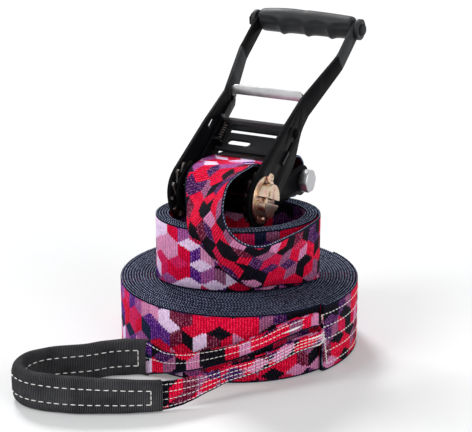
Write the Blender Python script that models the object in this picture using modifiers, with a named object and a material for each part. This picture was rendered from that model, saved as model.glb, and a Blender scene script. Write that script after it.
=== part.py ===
# Slackline set as it is packed for sale: the main line wound into a round roll, the
# ratchet's own strap wound into an oval roll on top of it, and the long-handled ratchet
# standing in the bore of the oval roll. The main line's sewn eye lies on the floor.
# Metres, +Z up. The origin is on the round roll's axis, at the floor.
import math

import bmesh
import bpy
from mathutils import Matrix, Vector

MM = 0.001

# Webbing
WEBBING_WIDTH = 50.0 * MM
WEBBING_THICKNESS = 1.5 * MM
SEAT_GAP = 0.3 * MM
CUT_OVERRUN = 3.0 * MM

# Round roll of the main line
MAIN_ROLL_RADIUS = 86.8 * MM
MAIN_ROLL_PITCH = 2.0 * MM
MAIN_ROLL_LOOPS = 24
LOOP_POINTS = 24
EYE_SEAM_START_DEG = 33.0
EYE_SEAM_END_DEG = -47.0

# Oval roll of the ratchet's strap, leaning out at its upper rim
OVAL_ROLL_LOOPS = 5
OVAL_ROLL_PITCH = 2.0 * MM
OVAL_LOW_LENGTH = 59.2 * MM
OVAL_LOW_DEPTH = 37.2 * MM
OVAL_LOW_SHIFT = -5.0 * MM
OVAL_HIGH_LENGTH = 58.9 * MM
OVAL_HIGH_DEPTH = 44.6 * MM
OVAL_HIGH_SHIFT = -9.3 * MM
RUN_REACH = 50.0 * MM

# Sewn eye and its sleeve
FOLDED_SHARE = 0.47
FOLDED_THICKNESS_SHARE = 0.10
SLEEVE_WALL = 1.1 * MM
SLEEVE_EDGE_CLEARANCE = 0.4 * MM
SLEEVE_FACE_CLEARANCE = 1.1 * MM

# Ratchet, placed by the axis of its spindle
SPINDLE_OFFSET_X = -11.6 * MM
SPINDLE_OFFSET_Y = -15.0 * MM
SPINDLE_ABOVE_RIM = 15.4 * MM
RATCHET_YAW_DEG = 27.2
HANDLE_LEAN_DEG = 55.4

# Base frame
STRAP_CLEARANCE = 0.4 * MM
BASE_PLATE = 2.0 * MM
BASE_NOSE_RADIUS = 17.0 * MM
BOLT_DISTANCE = 78.0 * MM
BOLT_DROP = 7.0 * MM
TAIL_RADIUS = 11.5 * MM
BASE_TOP_RISE = 2.0 * MM
BASE_FLOOR_START = 30.0 * MM
BASE_FLOOR_END = 49.0 * MM
SPRING_LIP_RISE = 12.0 * MM

# Spindle
SPINDLE_RADIUS = 12.0 * MM
SPINDLE_SLOT = 3.4 * MM
SPINDLE_TURN_DEG = -23.0
SPINDLE_BEYOND_PIN = 4.5 * MM
SPINDLE_CLEARANCE = 0.35 * MM
WHEEL_TIP_RADIUS = 20.3 * MM
WHEEL_ROOT_RADIUS = 16.2 * MM
WHEEL_TEETH = 12
WHEEL_PLATE = 2.0 * MM
WHEEL_CLEARANCE = 0.35 * MM
WASHER_RADIUS = 17.2 * MM
WASHER_PLATE = 1.6 * MM
PIN_RADIUS = 1.3 * MM
PIN_CLEARANCE = 0.3 * MM
PIN_EYE_RADIUS = 2.4 * MM
PIN_TAIL = 1.5 * MM
PIN_EYE_START_DEG = -30.0
PIN_EYE_SWEEP_DEG = 240.0
PIN_EYE_STEPS = 9

# Handle
HANDLE_PLATE = 2.4 * MM
FLANGE_RADIUS = 20.2 * MM
FLANGE_FRONT_END = 51.0 * MM
FLANGE_FRONT = 15.5 * MM
REAR_TAPER_START = 46.0 * MM
REAR_TAPER_END = 78.0 * MM
REAR_STEPS = 6
ARM_START = 88.0 * MM
ARM_START_FRONT = 10.0 * MM
ARM_MIDDLE = 112.0 * MM
ARM_MIDDLE_FRONT = 7.8 * MM
ARM_BEND_END = 142.0 * MM
ARM_CLEARANCE = 0.5 * MM
ARM_HALF_WIDTH = 6.6 * MM
ARM_CENTRE = -1.6 * MM
BEND_STEPS = 7
GRIP_DISTANCE = 173.0 * MM
WEB_SET_BACK = 8.0 * MM
WEB_START = 45.0 * MM
WEB_SLIT_START = 62.0 * MM
WEB_SLIT_END = 66.0 * MM
WEB_END = 71.0 * MM
WEB_SLIT_HALF = 22.0 * MM
WEB_HOLE_PLACE = 53.5 * MM
WEB_HOLE_SHIFT = -10.3 * MM
WEB_HOLE_HALF = 6.7 * MM
WEB_HOLE_RADIUS = 2.6 * MM
SIDE_SLOT_START = 53.0 * MM
SIDE_SLOT_END = 61.0 * MM
SIDE_SLOT_PLACE = 7.6 * MM
SIDE_SLOT_RADIUS = 1.2 * MM
RIVET_PLACE = 65.4 * MM
RIVET_SET_BACK = 2.8 * MM
RIVET_RADIUS = 2.2 * MM
RIVET_HEAD_RADIUS = 4.0 * MM
RIVET_HEAD_HEIGHT = 1.8 * MM

# Drive pawl in the handle
PAWL_PLATE = 2.0 * MM
PAWL_REAR = 6.2 * MM
PAWL_FRONT = 1.5 * MM
PAWL_TIP_GAP = 0.5 * MM
PULL_BAR_START = 91.0 * MM
PULL_BAR_REACH = 10.0 * MM
PULL_BAR_LEAN_DEG = 60.0
PULL_BAR_RELIEF = 0.2 * MM
PAWL_BRIDGE_START = 69.6 * MM
PAWL_BRIDGE_END = 71.8 * MM
PAWL_SHOULDER_START = 47.6 * MM
PAWL_SHOULDER_END = 50.0 * MM
PAWL_EAR_START = 36.0 * MM
PAWL_EAR_END = 48.0 * MM
PAWL_EAR_OUT = 1.2 * MM
PAWL_TRAVEL = 8.0 * MM
PAWL_SPRING_RADIUS = 2.4 * MM
PAWL_SPRING_WIRE = 0.55 * MM
PAWL_SPRING_SET_IN = 5.9 * MM
PAWL_SPRING_CURLS = 6

# Stop pawl in the base
STOP_BODY_START = 27.0 * MM
STOP_BODY_END = 36.0 * MM
STOP_TOP = -0.6 * MM
STOP_PLATE = 3.0 * MM
STOP_TRAVEL = 5.0 * MM
STOP_CLEARANCE = 0.3 * MM
STOP_SPRING_RADIUS = 2.6 * MM
STOP_SPRING_WIRE = 0.5 * MM
STOP_SPRING_PLACE = 12.0 * MM
STOP_SPRING_CURLS = 5
CURL_POINTS = 10

# Tail bolt
SPACER_RADIUS = 7.0 * MM
SPACER_WALL = 1.6 * MM
BOLT_RADIUS = 5.0 * MM
BOLT_HEAD_FLAT = 8.2 * MM
BOLT_HEAD_HEIGHT = 6.4 * MM
BOLT_BEYOND_NUT = 2.3 * MM
NUT_HEIGHT = 6.0 * MM
STRAP_LOOP_RADIUS = 15.0 * MM
STRAP_SEAM_START = 40.0 * MM
STRAP_PLY_GAP = 0.5 * MM
STRAP_SLACK_DEG = 143.0

# Grip
GRIP_HALF_LENGTH = 38.6 * MM
GRIP_HALF_HEIGHT = 8.4 * MM
GRIP_HALF_DEPTH = 9.6 * MM
GRIP_CROWN = 1.8 * MM
GRIP_SCALLOP = 2.0 * MM
GRIP_SCALLOPS = 4
GRIP_STATIONS = 24
GRIP_BORE = 3.9 * MM
GRIP_BOLT_RADIUS = 3.5 * MM
GRIP_CAP_RADIUS = 8.0 * MM
GRIP_CAP_HEIGHT = 3.4 * MM
GRIP_BOLT_HEAD_RADIUS = 4.6 * MM
GRIP_BOLT_HEAD_HEIGHT = 2.4 * MM
GRIP_BOLT_TAIL = 2.6 * MM

# Places that follow from these sizes
SLEEVE_HEIGHT = FOLDED_SHARE * WEBBING_WIDTH + 2 * (SLEEVE_WALL + SLEEVE_EDGE_CLEARANCE)
SLEEVE_WIDTH = FOLDED_THICKNESS_SHARE * WEBBING_WIDTH + 2 * (SLEEVE_WALL + SLEEVE_FACE_CLEARANCE)
FOLDED_MIDDLE_SHARE = SLEEVE_HEIGHT / 2 / WEBBING_WIDTH
BASE_INSIDE = WEBBING_WIDTH / 2 + STRAP_CLEARANCE
OVAL_FLOOR = WEBBING_WIDTH + SEAT_GAP
RIM_HEIGHT = OVAL_FLOOR + WEBBING_WIDTH
SPINDLE_AXIS = Vector((SPINDLE_OFFSET_X, SPINDLE_OFFSET_Y, RIM_HEIGHT + SPINDLE_ABOVE_RIM))
MAIN_BORE_RADIUS = MAIN_ROLL_RADIUS - MAIN_ROLL_LOOPS * MAIN_ROLL_PITCH - WEBBING_THICKNESS
CORE_RADIUS = MAIN_BORE_RADIUS * math.cos(math.pi / LOOP_POINTS) - SEAT_GAP
BASE_OUTSIDE = BASE_INSIDE + BASE_PLATE
WHEEL_INSIDE = BASE_OUTSIDE + WHEEL_CLEARANCE
WHEEL_OUTSIDE = WHEEL_INSIDE + WHEEL_PLATE
HANDLE_INSIDE = WHEEL_OUTSIDE + WHEEL_CLEARANCE
HANDLE_OUTSIDE = HANDLE_INSIDE + HANDLE_PLATE
HANDLE_MIDDLE = HANDLE_INSIDE + HANDLE_PLATE / 2
WASHER_INSIDE = HANDLE_OUTSIDE + SEAT_GAP
PIN_PLACE = WASHER_INSIDE + WASHER_PLATE + PIN_RADIUS + SEAT_GAP
SPINDLE_HALF_LENGTH = PIN_PLACE + SPINDLE_BEYOND_PIN
ARM_SPREAD = GRIP_HALF_LENGTH + ARM_CLEARANCE - HANDLE_INSIDE
PAWL_SPRING_PLACE = HANDLE_INSIDE - PAWL_SPRING_SET_IN
BOLT_END = BASE_OUTSIDE + SEAT_GAP + NUT_HEIGHT + BOLT_BEYOND_NUT
PAWL_START = WHEEL_TIP_RADIUS + PAWL_TIP_GAP
BASE_LOW = -(SPINDLE_ABOVE_RIM - SEAT_GAP)
SPRING_SEAT = SEAT_GAP

# Free run of the ratchet's strap: the near and the far edge of the webbing at each
# place, from the origin: plan places in shares of RUN_REACH, heights in webbing widths.
# It leaves the ratchet between the handle's flanges, bulges forward, turns on its edge
# and ends on the oval roll's right side.
RUN_SHARES = (
    ((-0.520, 0.228, 2.674), (0.372, -0.222, 2.692)),
    ((-0.580, 0.080, 2.670), (0.316, -0.344, 2.754)),
    ((-0.636, -0.070, 2.662), (0.264, -0.470, 2.796)),
    ((-0.688, -0.216, 2.622), (0.204, -0.600, 2.808)),
    ((-0.722, -0.338, 2.530), (0.138, -0.734, 2.808)),
    ((-0.732, -0.436, 2.406), (0.066, -0.870, 2.804)),
    ((-0.722, -0.538, 2.282), (-0.006, -1.006, 2.792)),
    ((-0.706, -0.676, 2.172), (-0.078, -1.144, 2.766)),
    ((-0.692, -0.856, 2.082), (-0.140, -1.284, 2.724)),
    ((-0.664, -0.978, 1.976), (-0.174, -1.428, 2.658)),
    ((-0.588, -1.008, 1.868), (-0.194, -1.558, 2.566)),
    ((-0.492, -1.004, 1.764), (-0.190, -1.666, 2.450)),
    ((-0.398, -1.038, 1.666), (-0.152, -1.750, 2.326)),
    ((-0.302, -1.074, 1.566), (-0.070, -1.804, 2.210)),
    ((-0.202, -1.106, 1.468), (0.046, -1.828, 2.116)),
    ((-0.096, -1.132, 1.374), (0.178, -1.814, 2.054)),
    ((0.016, -1.148, 1.288), (0.312, -1.758, 2.024)),
    ((0.132, -1.140, 1.222), (0.430, -1.668, 2.020)),
    ((0.248, -1.094, 1.182), (0.532, -1.558, 2.024)),
    ((0.360, -1.014, 1.164), (0.622, -1.444, 2.028)),
    ((0.466, -0.922, 1.148), (0.706, -1.330, 2.030)),
    ((0.574, -0.830, 1.128), (0.784, -1.214, 2.028)),
    ((0.688, -0.746, 1.106), (0.858, -1.096, 2.022)),
    ((0.812, -0.668, 1.088), (0.934, -0.966, 2.014)),
    ((0.934, -0.584, 1.070), (1.014, -0.820, 2.016)),
    ((1.040, -0.484, 1.050), (1.088, -0.668, 2.018)),
    ((1.120, -0.374, 1.030), (1.146, -0.512, 2.016)),
    ((1.172, -0.262, 1.015), (1.174, -0.360, 2.012)),
)

# Legs of the eye: angle about the roll's axis in degrees, then the distance from the
# roll's surface, the height of the middle, the height of the fold and its thickness,
# all four in webbing widths. Inside the sleeve the strap keeps one folded size.
NEAR_LEG_SHARES = (
    (-50.5, 0.050, 0.550, 0.740, 0.040),
    (-54.0, 0.112, 0.605, 0.440, 0.070),
    (-58.0, 0.150, 0.640, 0.240, 0.130),
    (-62.0, 0.165, 0.625, 0.210, 0.140),
    (-66.0, 0.175, 0.596, 0.210, 0.140),
    (-70.0, 0.185, 0.546, 0.210, 0.140),
    (-75.0, 0.205, 0.485, 0.210, 0.140),
    (-79.4, 0.240, 0.440, 0.210, 0.140),
    (-84.8, 0.290, 0.398, 0.215, 0.140),
    (-94.3, 0.430, 0.342, 0.225, 0.140),
    (-101.7, 0.629, 0.292, 0.280, 0.135),
    (-106.4, 0.790, 0.268, 0.380, 0.115),
)
SLEEVE_SHARES = (
    (-111.3, 0.964), (-117.5, 1.162), (-123.5, 1.382), (-128.7, 1.590),
    (-133.5, 1.780), (-137.8, 1.910), (-141.7, 1.924), (-144.7, 1.830),
    (-146.7, 1.650), (-147.2, 1.418), (-145.4, 1.132), (-142.9, 0.848),
    (-140.9, 0.532), (-136.2, 0.262), (-131.0, 0.155),
)
FAR_LEG_SHARES = (
    (-122.0, 0.140, 0.290, 0.340, 0.120),
    (-113.0, 0.130, 0.340, 0.270, 0.135),
    (-104.0, 0.120, 0.410, 0.225, 0.140),
    (-95.0, 0.110, 0.496, 0.225, 0.140),
    (-86.0, 0.100, 0.587, 0.225, 0.140),
    (-78.0, 0.098, 0.677, 0.220, 0.140),
    (-72.0, 0.094, 0.757, 0.205, 0.140),
    (-66.0, 0.086, 0.815, 0.200, 0.135),
    (-62.0, 0.080, 0.845, 0.200, 0.125),
    (-58.0, 0.060, 0.820, 0.290, 0.090),
    (-54.0, 0.030, 0.690, 0.560, 0.055),
    (-50.5, 0.004, 0.560, 0.800, 0.032),
)


def clear_scene():
    for obj in list(bpy.data.objects):
        bpy.data.objects.remove(obj, do_unlink=True)


def new_collection(name):
    made = bpy.data.collections.new(name)
    bpy.context.scene.collection.children.link(made)
    return made


def new_material(name, colour, roughness, metallic):
    made = bpy.data.materials.new(name)
    made.use_nodes = True
    shader = made.node_tree.nodes["Principled BSDF"]
    shader.inputs["Base Color"].default_value = (*colour, 1.0)
    shader.inputs["Roughness"].default_value = roughness
    shader.inputs["Metallic"].default_value = metallic
    return made


clear_scene()
PARTS = new_collection("slackline")
CUTTERS = new_collection("slackline_cutters")

WEBBING = new_material("printed_webbing", (0.80, 0.04, 0.13), 0.75, 0.0)
SELVEDGE = new_material("dark_webbing", (0.03, 0.04, 0.07), 0.85, 0.0)
SLEEVE_CLOTH = new_material("black_sleeve", (0.015, 0.015, 0.017), 0.9, 0.0)
BLACK_STEEL = new_material("black_painted_steel", (0.012, 0.012, 0.014), 0.35, 0.0)
ZINC_STEEL = new_material("zinc_plated_steel", (0.62, 0.62, 0.62), 0.3, 1.0)
YELLOW_ZINC = new_material("yellow_zinc_steel", (0.62, 0.50, 0.28), 0.3, 1.0)
GRIP_PLASTIC = new_material("dark_grey_plastic", (0.045, 0.047, 0.052), 0.55, 0.0)


def frame_matrix(lean_deg):
    """Frame of a piece of the ratchet: X runs out from the spindle, Z along its axis."""
    yaw = math.radians(RATCHET_YAW_DEG)
    lean = math.radians(lean_deg)
    along = Vector((math.cos(yaw), -math.sin(yaw), 0.0))
    back = Vector((math.sin(yaw), math.cos(yaw), 0.0))
    up = Vector((0.0, 0.0, 1.0))
    out = math.cos(lean) * up + math.sin(lean) * back
    side = math.sin(lean) * up - math.cos(lean) * back
    columns = Matrix((out, side, along)).transposed().to_4x4()
    return Matrix.Translation(SPINDLE_AXIS) @ columns


def new_pivot(name, matrix):
    pivot = bpy.data.objects.new(name, None)
    PARTS.objects.link(pivot)
    pivot.matrix_world = matrix
    return pivot


BASE_PIVOT = new_pivot("ratchet_base_frame", frame_matrix(90.0))
HANDLE_PIVOT = new_pivot("handle_pivot", frame_matrix(HANDLE_LEAN_DEG))
bpy.context.view_layer.update()


def finish_mesh(name, bm, material, pivot=None, smooth=False):
    bmesh.ops.recalc_face_normals(bm, faces=bm.faces)
    mesh = bpy.data.meshes.new(name)
    bm.to_mesh(mesh)
    bm.free()
    obj = bpy.data.objects.new(name, mesh)
    PARTS.objects.link(obj)
    mesh.materials.append(material)
    if pivot is not None:
        obj.parent = pivot
    if smooth:
        mesh.shade_smooth()
        mesh.set_sharp_from_angle(angle=math.radians(35.0))
    return obj


def add_boolean(obj, tool, operation):
    modifier = obj.modifiers.new(operation.lower() + "_" + tool.name, "BOOLEAN")
    modifier.operation = operation
    modifier.object = tool
    modifier.solver = "EXACT"
    tool.hide_render = True
    tool.display_type = "WIRE"
    for owner in list(tool.users_collection):
        owner.objects.unlink(tool)
    CUTTERS.objects.link(tool)


def loft(name, sections, material, pivot=None, smooth=False):
    """Closed body through sections of as many points each, with a cap at both ends."""
    bm = bmesh.new()
    rings = [[bm.verts.new(point) for point in section] for section in sections]
    count = len(rings[0])
    for first, second in zip(rings, rings[1:]):
        for i in range(count):
            j = (i + 1) % count
            bm.faces.new((first[i], first[j], second[j], second[i]))
    bm.faces.new(rings[0])
    bm.faces.new(list(reversed(rings[-1])))
    return finish_mesh(name, bm, material, pivot, smooth)


def arc_points(centre, radius, start_deg, end_deg, steps):
    """Points on an arc in the plane of an outline, both ends included."""
    points = []
    for i in range(steps + 1):
        angle = math.radians(start_deg + (end_deg - start_deg) * i / steps)
        points.append((centre[0] + radius * math.cos(angle), centre[1] + radius * math.sin(angle)))
    return points


def box_outline(left, right, low, high):
    return [(left, low), (right, low), (right, high), (left, high)]


def slot_outline(start, end, radius, steps=5):
    """Rounded slot between two places on an outline's plane."""
    run = math.degrees(math.atan2(end[1] - start[1], end[0] - start[0]))
    return (arc_points(end, radius, run - 90.0, run + 90.0, steps)
            + arc_points(start, radius, run + 90.0, run + 270.0, steps))


def plate(name, outlines, low, high, material, pivot=None, turned=False):
    """Flat sheet from a filled 2D curve, standing between two places along the spindle.

    With turned, the outline is drawn along the spindle and its thickness is across.
    """
    curve = bpy.data.curves.new(name, "CURVE")
    curve.dimensions = "2D"
    curve.fill_mode = "BOTH"
    curve.extrude = (high - low) / 2
    for outline in outlines:
        spline = curve.splines.new("POLY")
        spline.points.add(len(outline) - 1)
        for point, place in zip(spline.points, outline):
            point.co = (place[0], place[1], 0.0, 1.0)
        spline.use_cyclic_u = True
    drawn = bpy.data.objects.new(name + "_outline", curve)
    PARTS.objects.link(drawn)
    evaluated = drawn.evaluated_get(bpy.context.evaluated_depsgraph_get())
    mesh = bpy.data.meshes.new_from_object(evaluated)
    bpy.data.objects.remove(drawn, do_unlink=True)
    bm = bmesh.new()
    bm.from_mesh(mesh)
    bpy.data.meshes.remove(mesh)
    bmesh.ops.remove_doubles(bm, verts=bm.verts, dist=WEBBING_THICKNESS / 1000)
    bmesh.ops.translate(bm, verts=bm.verts, vec=(0.0, 0.0, (low + high) / 2))
    if turned:
        bmesh.ops.transform(bm, verts=bm.verts, matrix=Matrix(((0, 1, 0, 0), (0, 0, 1, 0), (1, 0, 0, 0), (0, 0, 0, 1))))
    return finish_mesh(name, bm, material, pivot)


def cylinder(name, radius, low, high, place, material, pivot=None, sides=32):
    """Round bar along the spindle direction, at a place of the frame's own plane."""
    bm = bmesh.new()
    bmesh.ops.create_cone(bm, cap_ends=True, segments=sides, radius1=radius, radius2=radius,
                          depth=high - low)
    bmesh.ops.translate(bm, verts=bm.verts, vec=(place[0], place[1], (low + high) / 2))
    return finish_mesh(name, bm, material, pivot, smooth=True)


def turned_profile(name, profile, place, material, pivot=None, steps=24):
    """Body of revolution about the spindle direction; the profile runs down its side."""
    mesh = bpy.data.meshes.new(name)
    mesh.from_pydata([(r, 0.0, z) for r, z in profile],
                     [(i, i + 1) for i in range(len(profile) - 1)], [])
    obj = bpy.data.objects.new(name, mesh)
    PARTS.objects.link(obj)
    mesh.materials.append(material)
    screw = obj.modifiers.new("turn", "SCREW")
    screw.steps = steps
    screw.render_steps = steps
    screw.use_merge_vertices = True
    screw.merge_threshold = 0.00001
    screw.use_smooth_shade = True
    obj.location = (place[0], place[1], 0.0)
    if pivot is not None:
        obj.parent = pivot
    return obj


def wire(name, points, radius, material, pivot=None, resolution=2):
    """Round wire through a list of places, with flat ends."""
    curve = bpy.data.curves.new(name, "CURVE")
    curve.dimensions = "3D"
    curve.bevel_depth = radius
    curve.bevel_resolution = resolution
    curve.use_fill_caps = True
    spline = curve.splines.new("POLY")
    spline.points.add(len(points) - 1)
    for point, place in zip(spline.points, points):
        point.co = (*place, 1.0)
    obj = bpy.data.objects.new(name, curve)
    PARTS.objects.link(obj)
    curve.materials.append(material)
    if pivot is not None:
        obj.parent = pivot
    return obj


def smooth_rows(rows, steps):
    """Rows of numbers with a Catmull-Rom curve's rows between them."""
    ends = [rows[0]] + list(rows) + [rows[-1]]
    out = []
    for p0, p1, p2, p3 in zip(ends, ends[1:], ends[2:], ends[3:]):
        for i in range(steps):
            t = i / steps
            out.append(tuple(
                0.5 * (2 * b + (c - a) * t + (2 * a - 5 * b + 4 * c - d) * t * t
                       + (3 * b - a - 3 * c + d) * t ** 3)
                for a, b, c, d in zip(p0, p1, p2, p3)))
    out.append(tuple(rows[-1]))
    return out


def strap_sections(edges, thicknesses):
    """Rectangular sections of a strap, from its two edges at each place."""
    middles = [(low + high) / 2 for low, high in edges]
    sections = []
    for i, (low, high) in enumerate(edges):
        before = middles[max(i - 1, 0)]
        after = middles[min(i + 1, len(middles) - 1)]
        across = (high - low).normalized()
        face = (after - before).cross(across).normalized() * (thicknesses[i] / 2)
        sections.append((low - face, high - face, high + face, low + face))
    return sections


def print_least_gap(name, rows, turn_points, thickness):
    """Least distance from one turn of a winding to the next, less the webbing itself."""
    least = min((Vector(b) - Vector(a)).length for a, b in zip(rows, rows[turn_points:]))
    print(f"{name}: least gap between turns {1000 * (least - thickness):.2f} mm")


# Main line: a plain core for the inner turns, and the outer turns wound on it

def make_main_line():
    bm = bmesh.new()
    bmesh.ops.create_cone(bm, cap_ends=True, segments=48, radius1=CORE_RADIUS,
                          radius2=CORE_RADIUS, depth=WEBBING_WIDTH)
    bmesh.ops.translate(bm, verts=bm.verts, vec=(0.0, 0.0, WEBBING_WIDTH / 2))
    finish_mesh("main_line_core", bm, SELVEDGE, smooth=True)

    outer = MAIN_ROLL_RADIUS - WEBBING_THICKNESS / 2
    edges = []
    for i in range(MAIN_ROLL_LOOPS * LOOP_POINTS + 1):
        turns = i / LOOP_POINTS
        angle = math.radians(EYE_SEAM_END_DEG) + 2 * math.pi * turns
        radius = outer - MAIN_ROLL_PITCH * turns
        low = Vector((radius * math.cos(angle), radius * math.sin(angle), 0.0))
        edges.append((low, low + Vector((0.0, 0.0, WEBBING_WIDTH))))
    print_least_gap("main_line_roll", [low for low, _ in edges], LOOP_POINTS,
                    WEBBING_THICKNESS)
    sections = strap_sections(edges, [WEBBING_THICKNESS] * len(edges))
    loft("main_line_roll", sections, WEBBING)


def eye_rows():
    """Route of the eye's webbing: angle, radius, middle height, width and thickness."""
    surface = MAIN_ROLL_RADIUS + SEAT_GAP + WEBBING_THICKNESS / 2
    half = WEBBING_WIDTH / 2
    seam = []
    span = EYE_SEAM_START_DEG - EYE_SEAM_END_DEG
    for i in range(11):
        seam.append((EYE_SEAM_START_DEG - span * i / 10, surface, half, WEBBING_WIDTH,
                     WEBBING_THICKNESS))

    def scaled(shares):
        return [(row[0], MAIN_ROLL_RADIUS + row[1] * WEBBING_WIDTH,
                 *(share * WEBBING_WIDTH for share in row[2:])) for row in shares]

    last = (EYE_SEAM_END_DEG - 0.4, MAIN_ROLL_RADIUS - WEBBING_THICKNESS / 2, half,
            WEBBING_WIDTH, WEBBING_THICKNESS)
    near = scaled(NEAR_LEG_SHARES)
    folded = (FOLDED_MIDDLE_SHARE, FOLDED_SHARE, FOLDED_THICKNESS_SHARE)
    sleeve = scaled([(*place, *folded) for place in SLEEVE_SHARES])
    far = scaled(FAR_LEG_SHARES) + [last]
    return seam, near, sleeve, far


def row_edges(row):
    angle = math.radians(row[0])
    foot = Vector((row[1] * math.cos(angle), row[1] * math.sin(angle), 0.0))
    rise = Vector((0.0, 0.0, 1.0))
    return foot + rise * (row[2] - row[3] / 2), foot + rise * (row[2] + row[3] / 2)


def make_eye():
    """One unbroken strap: sewn overlap, near leg, loop inside the sleeve and far leg."""
    seam, near, sleeve, far = eye_rows()
    steps = 3
    rows = smooth_rows(seam + near + sleeve + far, steps)
    edges = [row_edges(row) for row in rows]
    loft("eye_webbing", strap_sections(edges, [row[4] for row in rows]), WEBBING)

    first = len(seam) + len(near)
    run = rows[first * steps:(first + len(sleeve) - 1) * steps + 1]
    middle = SLEEVE_HEIGHT / 2

    def sleeve_body(name, height, width, ends):
        covered = run if ends else run[1:-1]
        made = [row_edges((row[0], row[1], middle, height, width)) for row in covered]
        return loft(name, strap_sections(made, [width] * len(made)), SLEEVE_CLOTH)

    cover = sleeve_body("eye_sleeve", SLEEVE_HEIGHT, SLEEVE_WIDTH, False)
    hollow = sleeve_body("eye_sleeve_hollow", SLEEVE_HEIGHT - 2 * SLEEVE_WALL,
                         SLEEVE_WIDTH - 2 * SLEEVE_WALL, True)
    add_boolean(cover, hollow, "DIFFERENCE")


# Ratchet's strap: the oval roll, and its run from the tail bolt over the spindle

def oval_edges(turns):
    angle = 2 * math.pi * turns
    shrink = OVAL_ROLL_PITCH * turns
    low = Vector(((OVAL_LOW_LENGTH - shrink) * math.cos(angle),
                  (OVAL_LOW_DEPTH - shrink) * math.sin(angle) + OVAL_LOW_SHIFT, OVAL_FLOOR))
    high = Vector(((OVAL_HIGH_LENGTH - shrink) * math.cos(angle),
                   (OVAL_HIGH_DEPTH - shrink) * math.sin(angle) + OVAL_HIGH_SHIFT, RIM_HEIGHT))
    return low, high


def make_oval_roll():
    points = LOOP_POINTS + LOOP_POINTS // 3
    edges = [oval_edges(i / points) for i in range(OVAL_ROLL_LOOPS * points + 1)]
    print_least_gap("ratchet_strap_roll", [low for low, _ in edges], points,
                    WEBBING_THICKNESS)
    loft("ratchet_strap_roll", strap_sections(edges, [WEBBING_THICKNESS] * len(edges)),
         WEBBING)


def bolt_centre():
    return Vector((BOLT_DISTANCE, -BOLT_DROP))


def scaled_run():
    """Both edges of the free run at each place, as six numbers."""
    unit = (RUN_REACH, RUN_REACH, WEBBING_WIDTH)
    return [tuple(share * size for share, size in zip(low + high, unit + unit))
            for low, high in RUN_SHARES]


def strap_loop_rows():
    """Centre line of the strap round the tail bolt, in the base's own plane."""
    lean = math.radians(STRAP_SLACK_DEG)
    slack = STRAP_LOOP_RADIUS - SPACER_RADIUS - WEBBING_THICKNESS / 2 - SEAT_GAP
    centre = bolt_centre() + slack * Vector((math.cos(lean), math.sin(lean)))
    top = centre + Vector((0.0, STRAP_LOOP_RADIUS))
    base = frame_matrix(90.0).inverted()
    first = scaled_run()[0]
    start = (base @ ((Vector(first[:3]) + Vector(first[3:])) / 2)).xy
    share = (top.x - STRAP_SEAM_START) / (top.x - start.x)
    on_top = top.lerp(start, share)
    sewn_end = on_top - Vector((0.0, WEBBING_THICKNESS + STRAP_PLY_GAP))
    away = sewn_end - centre
    swing = math.degrees(math.atan2(away.y, away.x))
    half = math.degrees(math.acos(STRAP_LOOP_RADIUS / away.length))
    arc = arc_points(centre, STRAP_LOOP_RADIUS, swing + half, 90.0 + 360.0, 14)
    return [tuple(sewn_end)] + arc + [tuple(top.lerp(start, 0.5))]


def make_strap_run():
    base = frame_matrix(90.0)
    half = WEBBING_WIDTH / 2
    edges = []
    for out, rise in strap_loop_rows():
        edges.append((base @ Vector((out, rise, -half)), base @ Vector((out, rise, half))))
    rows = scaled_run()
    low, high = oval_edges(0.0)
    step = Vector((0.0, STRAP_PLY_GAP, 0.0))
    rows.append((*(low - step), *(high - step)))
    for row in smooth_rows(rows, 2):
        low, high = Vector(row[:3]), Vector(row[3:])
        middle = (low + high) / 2
        reach = (high - low).normalized() * half
        edges.append((middle - reach, middle + reach))
    length = sum((a[0] + a[1] - b[0] - b[1]).length / 2 for a, b in zip(edges, edges[1:]))
    print(f"ratchet_strap_run: {length:.3f} m long")
    loft("ratchet_strap_run", strap_sections(edges, [WEBBING_THICKNESS] * len(edges)), WEBBING)


# Base frame with its bolt, spacer and stop pawl

def base_outline():
    tail = bolt_centre()
    nose_low = math.degrees(math.asin(BASE_LOW / BASE_NOSE_RADIUS))
    nose_top = math.degrees(math.acos(BASE_TOP_RISE / BASE_NOSE_RADIUS)) - 40.0
    nose = arc_points((0.0, 0.0), BASE_NOSE_RADIUS, nose_top, 360.0 + nose_low, 20)
    tail_low = 180.0 - math.degrees(math.asin((BASE_LOW - tail.y) / TAIL_RADIUS))
    rear = arc_points(tail, TAIL_RADIUS, tail_low, 450.0, 14)
    waist = [(tail.x / 2, BASE_TOP_RISE)]
    return nose + rear + waist


def make_base():
    outlines = [
        base_outline(),
        arc_points((0.0, 0.0), SPINDLE_RADIUS + SPINDLE_CLEARANCE, 0.0, 350.0, 35),
        arc_points(bolt_centre(), BOLT_RADIUS + PIN_CLEARANCE, 0.0, 340.0, 17),
        box_outline(STOP_BODY_START - STOP_CLEARANCE, STOP_BODY_END + STOP_TRAVEL + STOP_CLEARANCE,
                    STOP_TOP - STOP_PLATE - STOP_CLEARANCE, STOP_TOP + STOP_CLEARANCE),
    ]
    base = plate("base_frame", outlines, BASE_INSIDE, BASE_OUTSIDE, BLACK_STEEL, BASE_PIVOT)
    other = plate("base_left_plate", outlines, -BASE_OUTSIDE, -BASE_INSIDE, BLACK_STEEL, BASE_PIVOT)
    low = BASE_LOW
    middle = BASE_INSIDE + BASE_PLATE / 2
    profile = [
        (BASE_FLOOR_START, low), (BASE_FLOOR_END, low),
        (BASE_FLOOR_END, low + SPRING_LIP_RISE), (BASE_FLOOR_END - BASE_PLATE, low + SPRING_LIP_RISE),
        (BASE_FLOOR_END - BASE_PLATE, low + BASE_PLATE), (BASE_FLOOR_START, low + BASE_PLATE),
    ]
    floor = plate("base_floor", [profile], -middle, middle, BLACK_STEEL, BASE_PIVOT)
    add_boolean(base, floor, "UNION")
    add_boolean(base, other, "UNION")


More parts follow.
